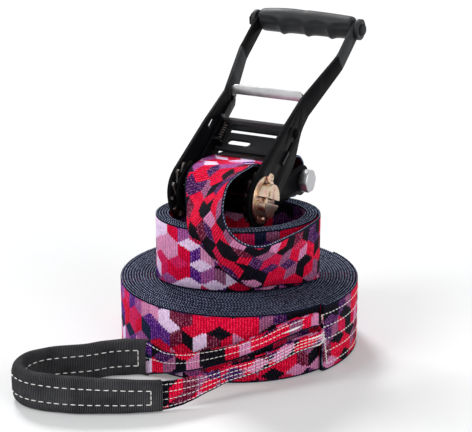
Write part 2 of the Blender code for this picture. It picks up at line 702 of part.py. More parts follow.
def hexagon(centre, flat):
    return [(centre[0] + flat / math.cos(math.pi / 6) * math.cos(math.pi / 3 * i),
             centre[1] + flat / math.cos(math.pi / 6) * math.sin(math.pi / 3 * i))
            for i in range(6)]


def make_tail_bolt():
    place = bolt_centre()
    reach = BASE_INSIDE - SEAT_GAP
    turned_profile("spacer_tube", [
        (SPACER_RADIUS, reach), (SPACER_RADIUS, -reach),
        (SPACER_RADIUS - SPACER_WALL, -reach), (SPACER_RADIUS - SPACER_WALL, reach),
        (SPACER_RADIUS, reach)], place, ZINC_STEEL, BASE_PIVOT)
    head = BASE_OUTSIDE + SEAT_GAP
    bolt = plate("tail_bolt", [hexagon(place, BOLT_HEAD_FLAT)], head, head + BOLT_HEAD_HEIGHT,
                 ZINC_STEEL, BASE_PIVOT)
    shank = cylinder("tail_bolt_shank", BOLT_RADIUS, -BOLT_END, head + BOLT_HEAD_HEIGHT / 2,
                     place, ZINC_STEEL, BASE_PIVOT, sides=20)
    add_boolean(bolt, shank, "UNION")
    bore = arc_points(place, BOLT_RADIUS + PIN_CLEARANCE, 0.0, 340.0, 17)
    plate("tail_nut", [hexagon(place, BOLT_HEAD_FLAT), bore], -head - NUT_HEIGHT, -head,
          ZINC_STEEL, BASE_PIVOT)


def make_stop_pawl():
    """Plate that slides in the base's slots; its fingers reach the ratchet wheels."""
    body_half = BASE_OUTSIDE + WHEEL_CLEARANCE + WHEEL_PLATE
    finger_inside = BASE_OUTSIDE + WHEEL_CLEARANCE
    tip = WHEEL_TIP_RADIUS + PAWL_TIP_GAP
    outline = [
        (-body_half, tip), (-finger_inside, tip), (-finger_inside, STOP_BODY_START),
        (finger_inside, STOP_BODY_START), (finger_inside, tip), (body_half, tip),
        (body_half, STOP_BODY_END), (-body_half, STOP_BODY_END),
    ]
    flat = [(across, out) for across, out in outline]
    pawl = plate("stop_pawl", [flat], STOP_TOP - STOP_PLATE, STOP_TOP, BLACK_STEEL, BASE_PIVOT,
                 turned=True)
    return pawl


def spring_points(start, end, side, height, radius, wire_radius, curls):
    """Closed-end coil spring along the frame's X, from one seat to the other."""
    points = []
    count = curls * CURL_POINTS
    usable = end - start - 2 * wire_radius
    for i in range(count + 1):
        angle = 2 * math.pi * i / CURL_POINTS
        run = start + wire_radius + usable * i / count
        points.append((run, height + radius * math.cos(angle), side + radius * math.sin(angle)))
    pitch = usable / curls
    return points, pitch - 2 * wire_radius


def make_springs():
    stop_height = STOP_TOP - STOP_PLATE / 2
    for name, side in (("left", -1), ("right", 1)):
        points, gap = spring_points(
            STOP_BODY_END + SPRING_SEAT, BASE_FLOOR_END - BASE_PLATE - SPRING_SEAT,
            side * STOP_SPRING_PLACE, stop_height, STOP_SPRING_RADIUS, STOP_SPRING_WIRE,
            STOP_SPRING_CURLS)
        wire(f"stop_pawl_spring_{name}", points, STOP_SPRING_WIRE, ZINC_STEEL, BASE_PIVOT, 1)
        print(f"stop_pawl_spring_{name}: least gap {1000 * gap:.2f} mm")
        points, gap = spring_points(
            PAWL_SHOULDER_END + SPRING_SEAT, WEB_SLIT_END - SPRING_SEAT,
            side * PAWL_SPRING_PLACE, (PAWL_FRONT - PAWL_REAR) / 2, PAWL_SPRING_RADIUS,
            PAWL_SPRING_WIRE, PAWL_SPRING_CURLS)
        wire(f"drive_pawl_spring_{name}", points, PAWL_SPRING_WIRE, ZINC_STEEL, HANDLE_PIVOT, 1)
        print(f"drive_pawl_spring_{name}: least gap {1000 * gap:.2f} mm")


# Spindle: two half-round bars, ratchet wheels, washers and cotter pins

def half_round(radius, flat, side, steps=14):
    """Outline of half a round bar, cut back from the middle and turned with the slot."""
    turn = SPINDLE_TURN_DEG + (90.0 if side > 0 else 270.0)
    reach = math.degrees(math.acos(flat / radius))
    return arc_points((0.0, 0.0), radius, turn - reach, turn + reach, steps)


def make_spindle():
    turn = math.radians(SPINDLE_TURN_DEG)
    across = Vector((-math.sin(turn), math.cos(turn), 0.0))
    for name, side in (("upper", 1), ("lower", -1)):
        bar = plate(f"spindle_half_{name}", [half_round(SPINDLE_RADIUS, SPINDLE_SLOT / 2, side)],
                    -SPINDLE_HALF_LENGTH, SPINDLE_HALF_LENGTH, YELLOW_ZINC, BASE_PIVOT)
        for end in (-1, 1):
            bm = bmesh.new()
            bmesh.ops.create_cone(bm, cap_ends=True, segments=12, radius1=PIN_RADIUS + PIN_CLEARANCE,
                                  radius2=PIN_RADIUS + PIN_CLEARANCE, depth=3 * SPINDLE_RADIUS)
            spin = Vector((0.0, 0.0, 1.0)).rotation_difference(across).to_matrix().to_4x4()
            bmesh.ops.transform(bm, verts=bm.verts, matrix=spin)
            bmesh.ops.translate(bm, verts=bm.verts, vec=(0.0, 0.0, end * PIN_PLACE))
            hole = finish_mesh(f"pin_hole_{name}_{end}", bm, YELLOW_ZINC, BASE_PIVOT)
            add_boolean(bar, hole, "DIFFERENCE")

    bores = [half_round(SPINDLE_RADIUS + SPINDLE_CLEARANCE,
                        SPINDLE_SLOT / 2 - SPINDLE_CLEARANCE, side) for side in (1, -1)]
    for name, side in (("left", -1), ("right", 1)):
        teeth = []
        for i in range(WHEEL_TEETH):
            step = 2 * math.pi / WHEEL_TEETH
            for share, radius in ((0.0, WHEEL_ROOT_RADIUS), (0.08, WHEEL_TIP_RADIUS),
                                  (0.30, WHEEL_TIP_RADIUS), (0.92, WHEEL_ROOT_RADIUS)):
                angle = step * (i + share)
                teeth.append((radius * math.cos(angle), radius * math.sin(angle)))
        low, high = sorted((side * WHEEL_INSIDE, side * WHEEL_OUTSIDE))
        plate(f"ratchet_wheel_{name}", [teeth] + bores, low, high, YELLOW_ZINC, BASE_PIVOT)
        low, high = sorted((side * WASHER_INSIDE, side * (WASHER_INSIDE + WASHER_PLATE)))
        rim = arc_points((0.0, 0.0), WASHER_RADIUS, 0.0, 350.0, 35)
        plate(f"spindle_washer_{name}", [rim] + bores, low, high, YELLOW_ZINC, BASE_PIVOT)
        flat = Vector((math.cos(turn), math.sin(turn), 0.0))
        eye = across * (SPINDLE_RADIUS + SEAT_GAP + PIN_RADIUS + PIN_EYE_RADIUS)
        eye += Vector((0.0, 0.0, side * PIN_PLACE))
        points = []
        for i in range(PIN_EYE_STEPS + 1):
            angle = math.radians(PIN_EYE_START_DEG + PIN_EYE_SWEEP_DEG * i / PIN_EYE_STEPS)
            points.append(eye + PIN_EYE_RADIUS * (flat * math.cos(angle) + across * math.sin(angle)))
        points.append(eye - across * (PIN_EYE_RADIUS + PIN_RADIUS))
        points.append(eye - across * (eye.xy.length + SPINDLE_RADIUS + PIN_TAIL))
        wire(f"cotter_pin_{name}", points, PIN_RADIUS, ZINC_STEEL, BASE_PIVOT, 1)


# Handle: two lofted side plates, their cross web, rivets and grip

def smooth_step(value, low, high):
    share = min(max((value - low) / (high - low), 0.0), 1.0)
    return share * share * (3 - 2 * share)


def handle_outline():
    """Side of the handle: round about the spindle, narrowing to the arm and the grip."""
    front = [Vector((FLANGE_FRONT_END, FLANGE_FRONT)), Vector((ARM_START, ARM_START_FRONT)),
             Vector((ARM_MIDDLE, ARM_MIDDLE_FRONT)),
             Vector((ARM_BEND_END, ARM_CENTRE + ARM_HALF_WIDTH))]
    corner = front[0]
    swing = math.degrees(math.atan2(corner.y, corner.x)
                         + math.acos(FLANGE_RADIUS / corner.length))
    nose = arc_points((0.0, 0.0), FLANGE_RADIUS, swing, 270.0, 16)
    rear = []
    for i in range(REAR_STEPS + 1):
        out = REAR_TAPER_START + (REAR_TAPER_END - REAR_TAPER_START) * i / REAR_STEPS
        share = smooth_step(out, REAR_TAPER_START, REAR_TAPER_END)
        rear.append((out, -FLANGE_RADIUS + (ARM_CENTRE - ARM_HALF_WIDTH + FLANGE_RADIUS) * share))
    top = arc_points((GRIP_DISTANCE, ARM_CENTRE), ARM_HALF_WIDTH, -90.0, 90.0, 10)
    return nose + rear + top + [tuple(point) for point in reversed(front)]


def handle_holes():
    ear_middle = -PAWL_REAR / 2
    return [
        arc_points((0.0, 0.0), SPINDLE_RADIUS + SPINDLE_CLEARANCE, 0.0, 350.0, 35),
        arc_points((GRIP_DISTANCE, ARM_CENTRE), GRIP_BORE, 0.0, 337.5, 15),
        arc_points((RIVET_PLACE, -RIVET_SET_BACK), RIVET_RADIUS + PIN_CLEARANCE, 0.0, 330.0, 11),
        slot_outline((PAWL_EAR_START, ear_middle), (PAWL_EAR_END + PAWL_TRAVEL, ear_middle),
                     PAWL_PLATE / 2 + WHEEL_CLEARANCE),
        slot_outline((SIDE_SLOT_START, SIDE_SLOT_PLACE), (SIDE_SLOT_END, SIDE_SLOT_PLACE),
                     SIDE_SLOT_RADIUS),
    ]


def make_handle_side(name, side):
    """Side plate cut flat with its holes, then set outward from the flange to the grip."""
    low, high = sorted((side * HANDLE_INSIDE, side * HANDLE_OUTSIDE))
    obj = plate(name, [handle_outline()] + handle_holes(), low, high, BLACK_STEEL, HANDLE_PIVOT)
    bm = bmesh.new()
    bm.from_mesh(obj.data)
    bmesh.ops.dissolve_limit(bm, angle_limit=math.radians(0.1), verts=bm.verts, edges=bm.edges)
    for i in range(BEND_STEPS + 1):
        out = ARM_START + (ARM_BEND_END - ARM_START) * i / BEND_STEPS
        bmesh.ops.bisect_plane(bm, geom=bm.verts[:] + bm.edges[:] + bm.faces[:],
                               plane_co=(out, 0.0, 0.0), plane_no=(1.0, 0.0, 0.0))
    for vert in bm.verts:
        vert.co.z += side * ARM_SPREAD * smooth_step(vert.co.x, ARM_START, ARM_BEND_END)
    bm.to_mesh(obj.data)
    bm.free()
    return obj


def make_handle():
    handle = make_handle_side("handle_frame", 1)
    add_boolean(handle, make_handle_side("handle_left_side", -1), "UNION")
    middle = HANDLE_MIDDLE
    outline = [(-middle, WEB_START), (middle, WEB_START), (middle, WEB_END), (-middle, WEB_END)]
    slit = [(-WEB_SLIT_HALF, WEB_SLIT_START), (WEB_SLIT_HALF, WEB_SLIT_START),
            (WEB_SLIT_HALF, WEB_SLIT_END), (-WEB_SLIT_HALF, WEB_SLIT_END)]
    hole = slot_outline((WEB_HOLE_SHIFT - WEB_HOLE_HALF, WEB_HOLE_PLACE),
                        (WEB_HOLE_SHIFT + WEB_HOLE_HALF, WEB_HOLE_PLACE), WEB_HOLE_RADIUS)
    web = plate("handle_web", [outline, slit, hole], -WEB_SET_BACK - HANDLE_PLATE / 2,
                -WEB_SET_BACK + HANDLE_PLATE / 2, BLACK_STEEL, HANDLE_PIVOT, turned=True)
    add_boolean(handle, web, "UNION")
    tab_start = WEB_SLIT_END + PAWL_PLATE / 4
    seat = [(tab_start, -WEB_SET_BACK), (tab_start + PAWL_PLATE, -WEB_SET_BACK),
            (tab_start + PAWL_PLATE, PAWL_FRONT - SEAT_GAP), (tab_start, PAWL_FRONT - SEAT_GAP)]
    for name, side in (("left", -1), ("right", 1)):
        low, high = sorted((side * (PAWL_SPRING_PLACE - PAWL_SPRING_RADIUS),
                            side * (PAWL_SPRING_PLACE + PAWL_SPRING_RADIUS)))
        tab = plate(f"spring_tab_{name}", [seat], low, high, BLACK_STEEL, HANDLE_PIVOT)
        add_boolean(handle, tab, "UNION")

    for name, side in (("left", -1), ("right", 1)):
        head = HANDLE_OUTSIDE + SEAT_GAP
        profile = [(0.0, head + RIVET_HEAD_HEIGHT)]
        for i in range(1, 5):
            angle = math.radians(22.5 * i)
            profile.append((RIVET_HEAD_RADIUS * math.sin(angle),
                            head + RIVET_HEAD_HEIGHT * math.cos(angle)))
        profile += [(RIVET_RADIUS, head), (RIVET_RADIUS, HANDLE_INSIDE), (0.0, HANDLE_INSIDE)]
        if side < 0:
            profile = [(r, -z) for r, z in reversed(profile)]
        turned_profile(f"flange_rivet_{name}", profile, (RIVET_PLACE, -RIVET_SET_BACK),
                       BLACK_STEEL, HANDLE_PIVOT, 14)


def make_drive_pawl():
    """Pull bar, two legs down to the ratchet wheels, a bridge and the guide ears."""
    lean = math.radians(PULL_BAR_LEAN_DEG)
    run = Vector((math.cos(lean), math.sin(lean)))
    normal = Vector((-math.sin(lean), math.cos(lean)))
    foot = Vector((PULL_BAR_START, 0.0)) - run * PAWL_PLATE
    far = foot + run * (PULL_BAR_REACH + PAWL_PLATE)
    leg = [
        (PAWL_START, -PAWL_REAR), (PULL_BAR_START - PAWL_REAR / 2, -PAWL_REAR),
        tuple(foot - normal * PAWL_PLATE), tuple(far),
        tuple(far + normal * PAWL_PLATE), (PULL_BAR_START - PAWL_REAR, PAWL_FRONT),
        (PAWL_START + PAWL_REAR, PAWL_FRONT), (PAWL_START, -PAWL_FRONT),
    ]
    outside = WHEEL_OUTSIDE
    inside = outside - PAWL_PLATE
    pawl = plate("drive_pawl", [leg], inside, outside, ZINC_STEEL, HANDLE_PIVOT)
    add_boolean(pawl, plate("pawl_left_leg", [leg], -outside, -inside, ZINC_STEEL, HANDLE_PIVOT),
                "UNION")
    face = normal * (PAWL_PLATE - PULL_BAR_RELIEF)
    bar = [tuple(foot), tuple(far), tuple(far + face), tuple(foot + face)]
    middle = (inside + outside) / 2
    add_boolean(pawl, plate("pull_bar", [bar], -middle, middle, ZINC_STEEL, HANDLE_PIVOT), "UNION")
    bridge = [(PAWL_BRIDGE_START, -PAWL_REAR + SEAT_GAP), (PAWL_BRIDGE_END, -PAWL_REAR + SEAT_GAP),
              (PAWL_BRIDGE_END, -PAWL_FRONT), (PAWL_BRIDGE_START, -PAWL_FRONT)]
    add_boolean(pawl, plate("pawl_bridge", [bridge], -middle, middle, ZINC_STEEL, HANDLE_PIVOT),
                "UNION")
    for name, side in (("left", -1), ("right", 1)):
        shoulder = [(PAWL_SHOULDER_START, -PAWL_REAR + SEAT_GAP),
                    (PAWL_SHOULDER_END, -PAWL_REAR + SEAT_GAP),
                    (PAWL_SHOULDER_END, PAWL_FRONT - SEAT_GAP),
                    (PAWL_SHOULDER_START, PAWL_FRONT - SEAT_GAP)]
        low, high = sorted((side * (PAWL_SPRING_PLACE - PAWL_SPRING_RADIUS), side * middle))
        add_boolean(pawl, plate(f"pawl_shoulder_{name}", [shoulder], low, high, ZINC_STEEL,
                                HANDLE_PIVOT), "UNION")
        ear = [(PAWL_EAR_START, -PAWL_REAR / 2 - PAWL_PLATE / 2),
               (PAWL_EAR_END, -PAWL_REAR / 2 - PAWL_PLATE / 2),
               (PAWL_EAR_END, -PAWL_REAR / 2 + PAWL_PLATE / 2),
               (PAWL_EAR_START, -PAWL_REAR / 2 + PAWL_PLATE / 2)]
        low, high = sorted((side * middle, side * (HANDLE_OUTSIDE + PAWL_EAR_OUT)))
        add_boolean(pawl, plate(f"pawl_ear_{name}", [ear], low, high, ZINC_STEEL, HANDLE_PIVOT),
                    "UNION")


def grip_section(place):
    """One section of the grip: an egg, deeper in front, with four finger hollows."""
    share = place / GRIP_HALF_LENGTH
    crown = GRIP_CROWN * (1 - share * share)
    wave = 0.5 - 0.5 * math.cos(2 * math.pi * GRIP_SCALLOPS * (share + 1) / 2)
    section = []
    for i in range(16):
        angle = 2 * math.pi * i / 16
        out = GRIP_HALF_HEIGHT * math.cos(angle)
        side = GRIP_HALF_DEPTH * math.sin(angle)
        if math.sin(angle) > 0 and math.cos(angle) < 0.5:
            side -= GRIP_SCALLOP * wave * math.sin(angle)
        section.append((GRIP_DISTANCE + out + crown, ARM_CENTRE + side, place))
    return section


def make_grip():
    places = [GRIP_HALF_LENGTH * (2 * i / GRIP_STATIONS - 1) for i in range(GRIP_STATIONS + 1)]
    grip = loft("handle_grip", [grip_section(place) for place in places], GRIP_PLASTIC,
                HANDLE_PIVOT, smooth=True)
    centre = (GRIP_DISTANCE, ARM_CENTRE)
    reach = GRIP_HALF_LENGTH + CUT_OVERRUN
    add_boolean(grip, cylinder("grip_bore", GRIP_BORE, -reach, reach, centre, GRIP_PLASTIC,
                               HANDLE_PIVOT, sides=16), "DIFFERENCE")
    arm_outside = HANDLE_OUTSIDE + ARM_SPREAD
    cap_inside = arm_outside + SEAT_GAP
    cap_outside = cap_inside + GRIP_CAP_HEIGHT
    bore = arc_points(centre, GRIP_BORE, 0.0, 337.5, 15)
    rim = arc_points(centre, GRIP_CAP_RADIUS, 0.0, 345.0, 23)
    for name, side in (("left", -1), ("right", 1)):
        low, high = sorted((side * cap_inside, side * cap_outside))
        plate(f"grip_cap_{name}", [rim, bore], low, high, GRIP_PLASTIC, HANDLE_PIVOT)
    head = cap_outside + SEAT_GAP
    turned_profile("grip_bolt", [
        (0.0, head + GRIP_BOLT_HEAD_HEIGHT),
        (GRIP_BOLT_HEAD_RADIUS * 0.7, head + GRIP_BOLT_HEAD_HEIGHT),
        (GRIP_BOLT_HEAD_RADIUS, head + GRIP_BOLT_HEAD_HEIGHT * 0.6),
        (GRIP_BOLT_HEAD_RADIUS, head), (GRIP_BOLT_RADIUS, head),
        (GRIP_BOLT_RADIUS, -head - GRIP_BOLT_TAIL), (0.0, -head - GRIP_BOLT_TAIL)],
        centre, ZINC_STEEL, HANDLE_PIVOT, 16)
    plate("grip_nut", [hexagon(centre, GRIP_BOLT_HEAD_RADIUS), bore], -head - GRIP_BOLT_TAIL + SEAT_GAP,
          -head, ZINC_STEEL, HANDLE_PIVOT)


make_main_line()
make_eye()
make_oval_roll()
make_strap_run()
make_base()
make_tail_bolt()
make_stop_pawl()
make_springs()
make_spindle()
make_handle()
make_drive_pawl()
make_grip()
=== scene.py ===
from math import acos, atan2, copysign, cos, degrees, exp, pi, radians, sin, sqrt
import random
from functools import partialmethod

import bmesh
import bpy
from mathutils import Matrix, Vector


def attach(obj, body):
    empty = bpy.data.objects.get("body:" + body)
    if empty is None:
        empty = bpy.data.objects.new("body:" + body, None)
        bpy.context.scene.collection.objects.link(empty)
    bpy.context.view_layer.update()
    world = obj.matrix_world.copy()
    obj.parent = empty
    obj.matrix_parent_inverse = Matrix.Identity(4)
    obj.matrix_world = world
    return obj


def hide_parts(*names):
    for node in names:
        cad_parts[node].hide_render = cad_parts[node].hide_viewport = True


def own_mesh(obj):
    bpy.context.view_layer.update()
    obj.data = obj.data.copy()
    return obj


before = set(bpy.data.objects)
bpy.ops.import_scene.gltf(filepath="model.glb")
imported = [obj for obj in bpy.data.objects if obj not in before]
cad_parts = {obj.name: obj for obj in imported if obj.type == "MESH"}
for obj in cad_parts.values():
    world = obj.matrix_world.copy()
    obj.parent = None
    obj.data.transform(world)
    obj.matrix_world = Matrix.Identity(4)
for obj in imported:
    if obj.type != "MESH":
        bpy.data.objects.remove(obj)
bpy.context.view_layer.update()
print("frame loaded")

mm = 0.001
fullTurn = 2 * pi
webbing = {
    "width": 50.0 * mm,
    "thickness": 1.6 * mm,
    "edgeRound": 0.4 * mm,   # how far the soft edge stands out
    "edgeMark": 0.6 * mm,    # what the print's coordinate counts for it
    "hem": 1.3 * mm,
}

# Where the ratchet stands: its spindle, the base's own directions and the leaning handle's
spindleAxis = Vector((-11.6, -15.0, 115.7)) * mm
ratchetYaw = radians(27.2)
handleLean = radians(55.4)
barLean = radians(60.0)
alongSpindle = Vector((cos(ratchetYaw), -sin(ratchetYaw), 0.0))
toTheBack = Vector((sin(ratchetYaw), cos(ratchetYaw), 0.0))
upward = Vector((0.0, 0.0, 1.0))
alongHandle = toTheBack * sin(handleLean) + upward * cos(handleLean)
overHandle = upward * sin(handleLean) - toTheBack * cos(handleLean)


# Objects and node helpers

def newItem(name, data):
    item = bpy.data.objects.new(name, data)
    bpy.context.scene.collection.objects.link(item)
    return item


def newObject(name, bm, material):
    mesh = bpy.data.meshes.new(name)
    bm.to_mesh(mesh)
    bm.free()
    mesh.materials.append(material)
    mesh.shade_smooth()
    return newItem(name, mesh)


# A number or colour that nodes work out, so that a sum of nodes is written as a sum
class Value:
    def __init__(self, graph, socket):
        self.graph = graph
        self.socket = socket

    def math(self, operation, *others):
        return self.graph.value("Math", self, *others, operation=operation)

    def __rsub__(self, other):
        return self.graph.value("Math", other, self, operation="SUBTRACT")

    __add__ = partialmethod(math, "ADD")
    __sub__ = partialmethod(math, "SUBTRACT")
    __mul__ = partialmethod(math, "MULTIPLY")
    __truediv__ = partialmethod(math, "DIVIDE")
    __abs__ = partialmethod(math, "ABSOLUTE")
    __lt__ = partialmethod(math, "LESS_THAN")
    __gt__ = partialmethod(math, "GREATER_THAN")


# The nodes of one material, or of the world
class Graph:
    def __init__(self, owner, shader="Principled BSDF"):
        owner.use_nodes = True
        self.owner = owner
        self.tree = owner.node_tree
        self.shader = self.tree.nodes[shader]

    def feed(self, socket, value):
        if isinstance(value, Value):
            self.tree.links.new(value.socket, socket)
        elif value is not None:
            socket.default_value = (*value, 1.0) if socket.type == "RGBA" else value

    def node(self, kind, *values, **settings):
        node = self.tree.nodes.new("ShaderNode" + kind)
        for name, value in settings.items():
            setattr(node, name, value)
        for socket, value in zip(node.inputs, values):
            self.feed(socket, value)
        return node

    def value(self, kind, *values, output=0, **settings):
        return Value(self, self.node(kind, *values, **settings).outputs[output])

    def parts(self, kind, *values, **settings):
        node = self.node(kind, *values, **settings)
        return [Value(self, output) for output in node.outputs]

    def place(self):
        return self.value("TexCoord", output="Object")

    def uv(self):
        return self.parts("SeparateXYZ", self.value("UVMap", uv_map="strap"))[:2]

    # how far a point of the piece lies from a place, along a direction
    def distance(self, start, direction):
        reach = self.value("VectorMath", self.place(), direction, operation="DOT_PRODUCT",
                           output="Value")
        return reach - start.dot(direction)

    def vector(self, x, y, z):
        return self.value("CombineXYZ", x, y, z)

    def noise(self, scale, detail=2.0, roughness=0.5, place=None):
        return self.value("TexNoise", place or self.place(), None, scale, detail, roughness)

    def chance(self, x, y, z, output):
        return self.value("TexWhiteNoise", self.vector(x, y, z), noise_dimensions="3D",
                          output=output)

    def spread(self, value, fromLow, fromHigh, toLow, toHigh):
        return self.value("MapRange", value, fromLow, fromHigh, toLow, toHigh)

    def ramp(self, value, stops, interpolation="LINEAR"):
        node = self.node("ValToRGB", value)
        node.color_ramp.interpolation = interpolation
        elements = node.color_ramp.elements
        while len(elements) < len(stops):
            elements.new(1.0)
        for element, (position, colour) in zip(elements, stops):
            element.position = position
            element.color = (*colour, 1.0)
        return Value(self, node.outputs[0])

    def mix(self, share, first, second, blend="MIX"):
        unused = [None] * 5   # the sockets for plain numbers and vectors
        return self.value("Mix", share, *unused, first, second, data_type="RGBA",
                          blend_type=blend, output=2)

    def dim(self, colour, share):
        return self.mix(1.0, colour, self.vector(share, share, share), "MULTIPLY")

    def bump(self, height, distance, strength):
        node = self.node("Bump", strength, distance)
        self.feed(node.inputs["Height"], height)
        self.feed(self.shader.inputs["Normal"], Value(self, node.outputs[0]))

    def surface(self, colour, roughness, metallic=0.0, specular=0.5, sheen=0.0):
        for name, value in (("Base Color", colour), ("Roughness", roughness),
                            ("Metallic", metallic), ("Specular IOR Level", specular),
                            ("Sheen Weight", sheen)):
            self.feed(self.shader.inputs[name], value)
        return self.owner


def newGraph(name):
    return Graph(bpy.data.materials.new(name))


# Camera, floor and light

shot = {
    "place": (0.0003, -1.0780, 0.4452),
    "tiltDeg": 71.96,
    "turnDeg": 0.066,
    "lens": 119.2,
    "sensor": 36.0,
}
studio = {
    "floorSize": 12.0,
    "floorDrop": 0.4 * mm,
    "floorColour": (0.800, 0.808, 0.814),
    "floorGlow": 0.15,
    "worldStrength": 0.43,
}
# where each sun stands, seen from the object, its strength and its width in the sky
suns = {
    "keySun": ((-1.30, -0.62, 1.30), 1.15, 24.0),
    "rimSun": ((-0.35, 1.00, 1.02), 2.30, 15.0),
    "fillSun": ((0.90, -1.00, 0.55), 1.05, 40.0),
}


def makeCamera():
    data = bpy.data.cameras.new("camera")
    data.lens = shot["lens"]
    data.sensor_width = shot["sensor"]
    camera = newItem("camera", data)
    camera.location = shot["place"]
    camera.rotation_euler = (radians(shot["tiltDeg"]), 0.0, radians(shot["turnDeg"]))
    bpy.context.scene.camera = camera


# pale paper that the camera sees a little brighter than its shadows would leave it
def makeFloor():
    graph = newGraph("floorPaper")
    graph.surface(studio["floorColour"], 0.9, specular=0.0)
    seen = graph.value("LightPath", output="Is Camera Ray") * studio["floorGlow"]
    blend = graph.node("MixShader", seen, Value(graph, graph.shader.outputs[0]),
                       graph.value("Emission", (1.0, 1.0, 1.0), 1.0))
    graph.tree.links.new(blend.outputs[0], graph.tree.nodes["Material Output"].inputs["Surface"])
    bm = bmesh.new()
    bmesh.ops.create_grid(bm, x_segments=1, y_segments=1, size=studio["floorSize"] / 2)
    floor = newObject("floor", bm, graph.owner)
    floor.location.z = -studio["floorDrop"]


# the world lights at a plain level; seen straight, in metal or through glass it is white
def makeWorld():
    graph = Graph(bpy.data.worlds.new("studio"), "Background")
    rays = graph.node("LightPath").outputs
    seen, mirrored, through = [Value(graph, rays[f"Is {kind} Ray"])
                               for kind in ("Camera", "Glossy", "Transmission")]
    white = seen.math("MAXIMUM", mirrored).math("MAXIMUM", through)
    graph.feed(graph.shader.inputs["Color"], (1.0, 1.0, 1.0))
    graph.feed(graph.shader.inputs["Strength"],
               graph.spread(white, 0.0, 1.0, studio["worldStrength"], 1.0))
    bpy.context.scene.world = graph.owner


def makeSuns():
    for name, (place, strength, width) in suns.items():
        data = bpy.data.lights.new(name, "SUN")
        data.energy = strength
        data.angle = radians(width)
        light = newItem(name, data)
        light.location = place
        light.rotation_euler = Vector(place).to_track_quat("Z", "Y").to_euler()


makeCamera()
makeFloor()
makeWorld()
makeSuns()
bpy.context.scene.view_settings.view_transform = "Standard"
print("camera and studio ready")


# Materials of the webbing: a tumbling-blocks print on herringbone weave. Some stretches are
# printed mostly in hot colours, others in cool ones.

hotColours = (
    (0.00, (1.000, 0.001, 0.052)), (0.30, (0.850, 0.006, 0.080)),
    (0.38, (0.400, 0.120, 0.270)), (0.48, (0.055, 0.006, 0.120)),
    (0.59, (0.190, 0.002, 0.034)), (0.66, (0.003, 0.0045, 0.010)),
    (0.91, (0.820, 0.300, 0.560)),
)
coolColours = (
    (0.00, (0.880, 0.660, 0.930)), (0.25, (1.000, 0.020, 0.160)),
    (0.38, (0.500, 0.110, 0.440)), (0.50, (0.110, 0.012, 0.330)),
    (0.66, (1.000, 0.002, 0.060)), (0.80, (0.012, 0.026, 0.080)),
    (0.92, (0.920, 0.360, 0.640)),
)
weave = {
    "blockWidth": 18.47 * mm,
    "columnPitch": 2.0 * mm,
    "threadPitch": 1.25 * mm,
    "slant": 1.6,
    "waveHeight": 0.42,
    "ridgeHeight": 0.5,
    "bumpDepth": 0.35 * mm,
    "coolAt": 0.50,
    "coolEvery": 0.43,
    # painted shade on low threads and painted highlight on high ones; pale blocks are lit up
    # towards brightest
    "shade": (-0.10, 0.60, 0.06, 1.28),   # from low to high threads, how dark to how bright
    "brightest": 1.25,
    "uneven": (0.75, 1.15),
    # painted glints on the thread tops: their colour, and fewer of them on reds and darks
    "fleck": (1.0, 0.42, 0.66),
    "redBelow": 0.38,
    "redFlecks": 0.25,
    "darkAbove": 0.66,
    "darkFlecks": 0.07,
    # painted shade: the sewn loop's print is dimmed to loopShade, fading out over loopFade where
    # the loop ends
    "loopEnd": 0.10,                      # the sewn loop ends here and lies in the dark
    "loopFade": 0.004,
    "loopShade": 0.04,
    "edgeDark": (0.005, 0.007, 0.020),
    "edgePale": (0.620, 0.710, 1.000),
    "beadPitch": 2.3 * mm,
    "beadSlant": 0.45,
    "beadHeight": 0.8,
}
ribbing = {
    "pitch": 1.15 * mm,
    "thread": 0.55 * mm,
    "dark": (0.001, 0.001, 0.002),
    "pale": (0.138, 0.138, 0.146),
    "depth": 0.3 * mm,
}


# Two random numbers for each rhomb of the blocks, and its block's place along the strap
def blockNumber(graph, along, across):
    rise = sqrt(3.0)
    x, y = along / weave["blockWidth"], across / weave["blockWidth"]

    def lattice(shiftX, shiftY):
        localX = (x + shiftX).math("FLOORED_MODULO", 1.0) - 0.5
        localY = (y + shiftY).math("FLOORED_MODULO", rise) - rise / 2
        return localX, localY, localX.math("POWER", 2.0) + localY.math("POWER", 2.0)

    firstX, firstY, firstSquare = lattice(0.0, 0.0)
    otherX, otherY, otherSquare = lattice(0.5, rise / 2)
    nearer = firstSquare < otherSquare
    localX = nearer.math("MULTIPLY_ADD", firstX - otherX, otherX)
    localY = nearer.math("MULTIPLY_ADD", firstY - otherY, otherY)
    numberX = ((x - localX) * 2.0).math("ROUND")
    numberY = ((y - localY) * (2.0 / rise)).math("ROUND")
    third = (localY.math("ARCTAN2", localX) - pi / 6) / (fullTurn / 3)
    sector = third.math("FLOOR").math("FLOORED_MODULO", 3.0)
    colour = graph.chance(numberX, numberY, sector, "Color")
    number, choice = graph.parts("SeparateColor", colour)[:2]
    return number, choice, numberX * (weave["blockWidth"] / 2)


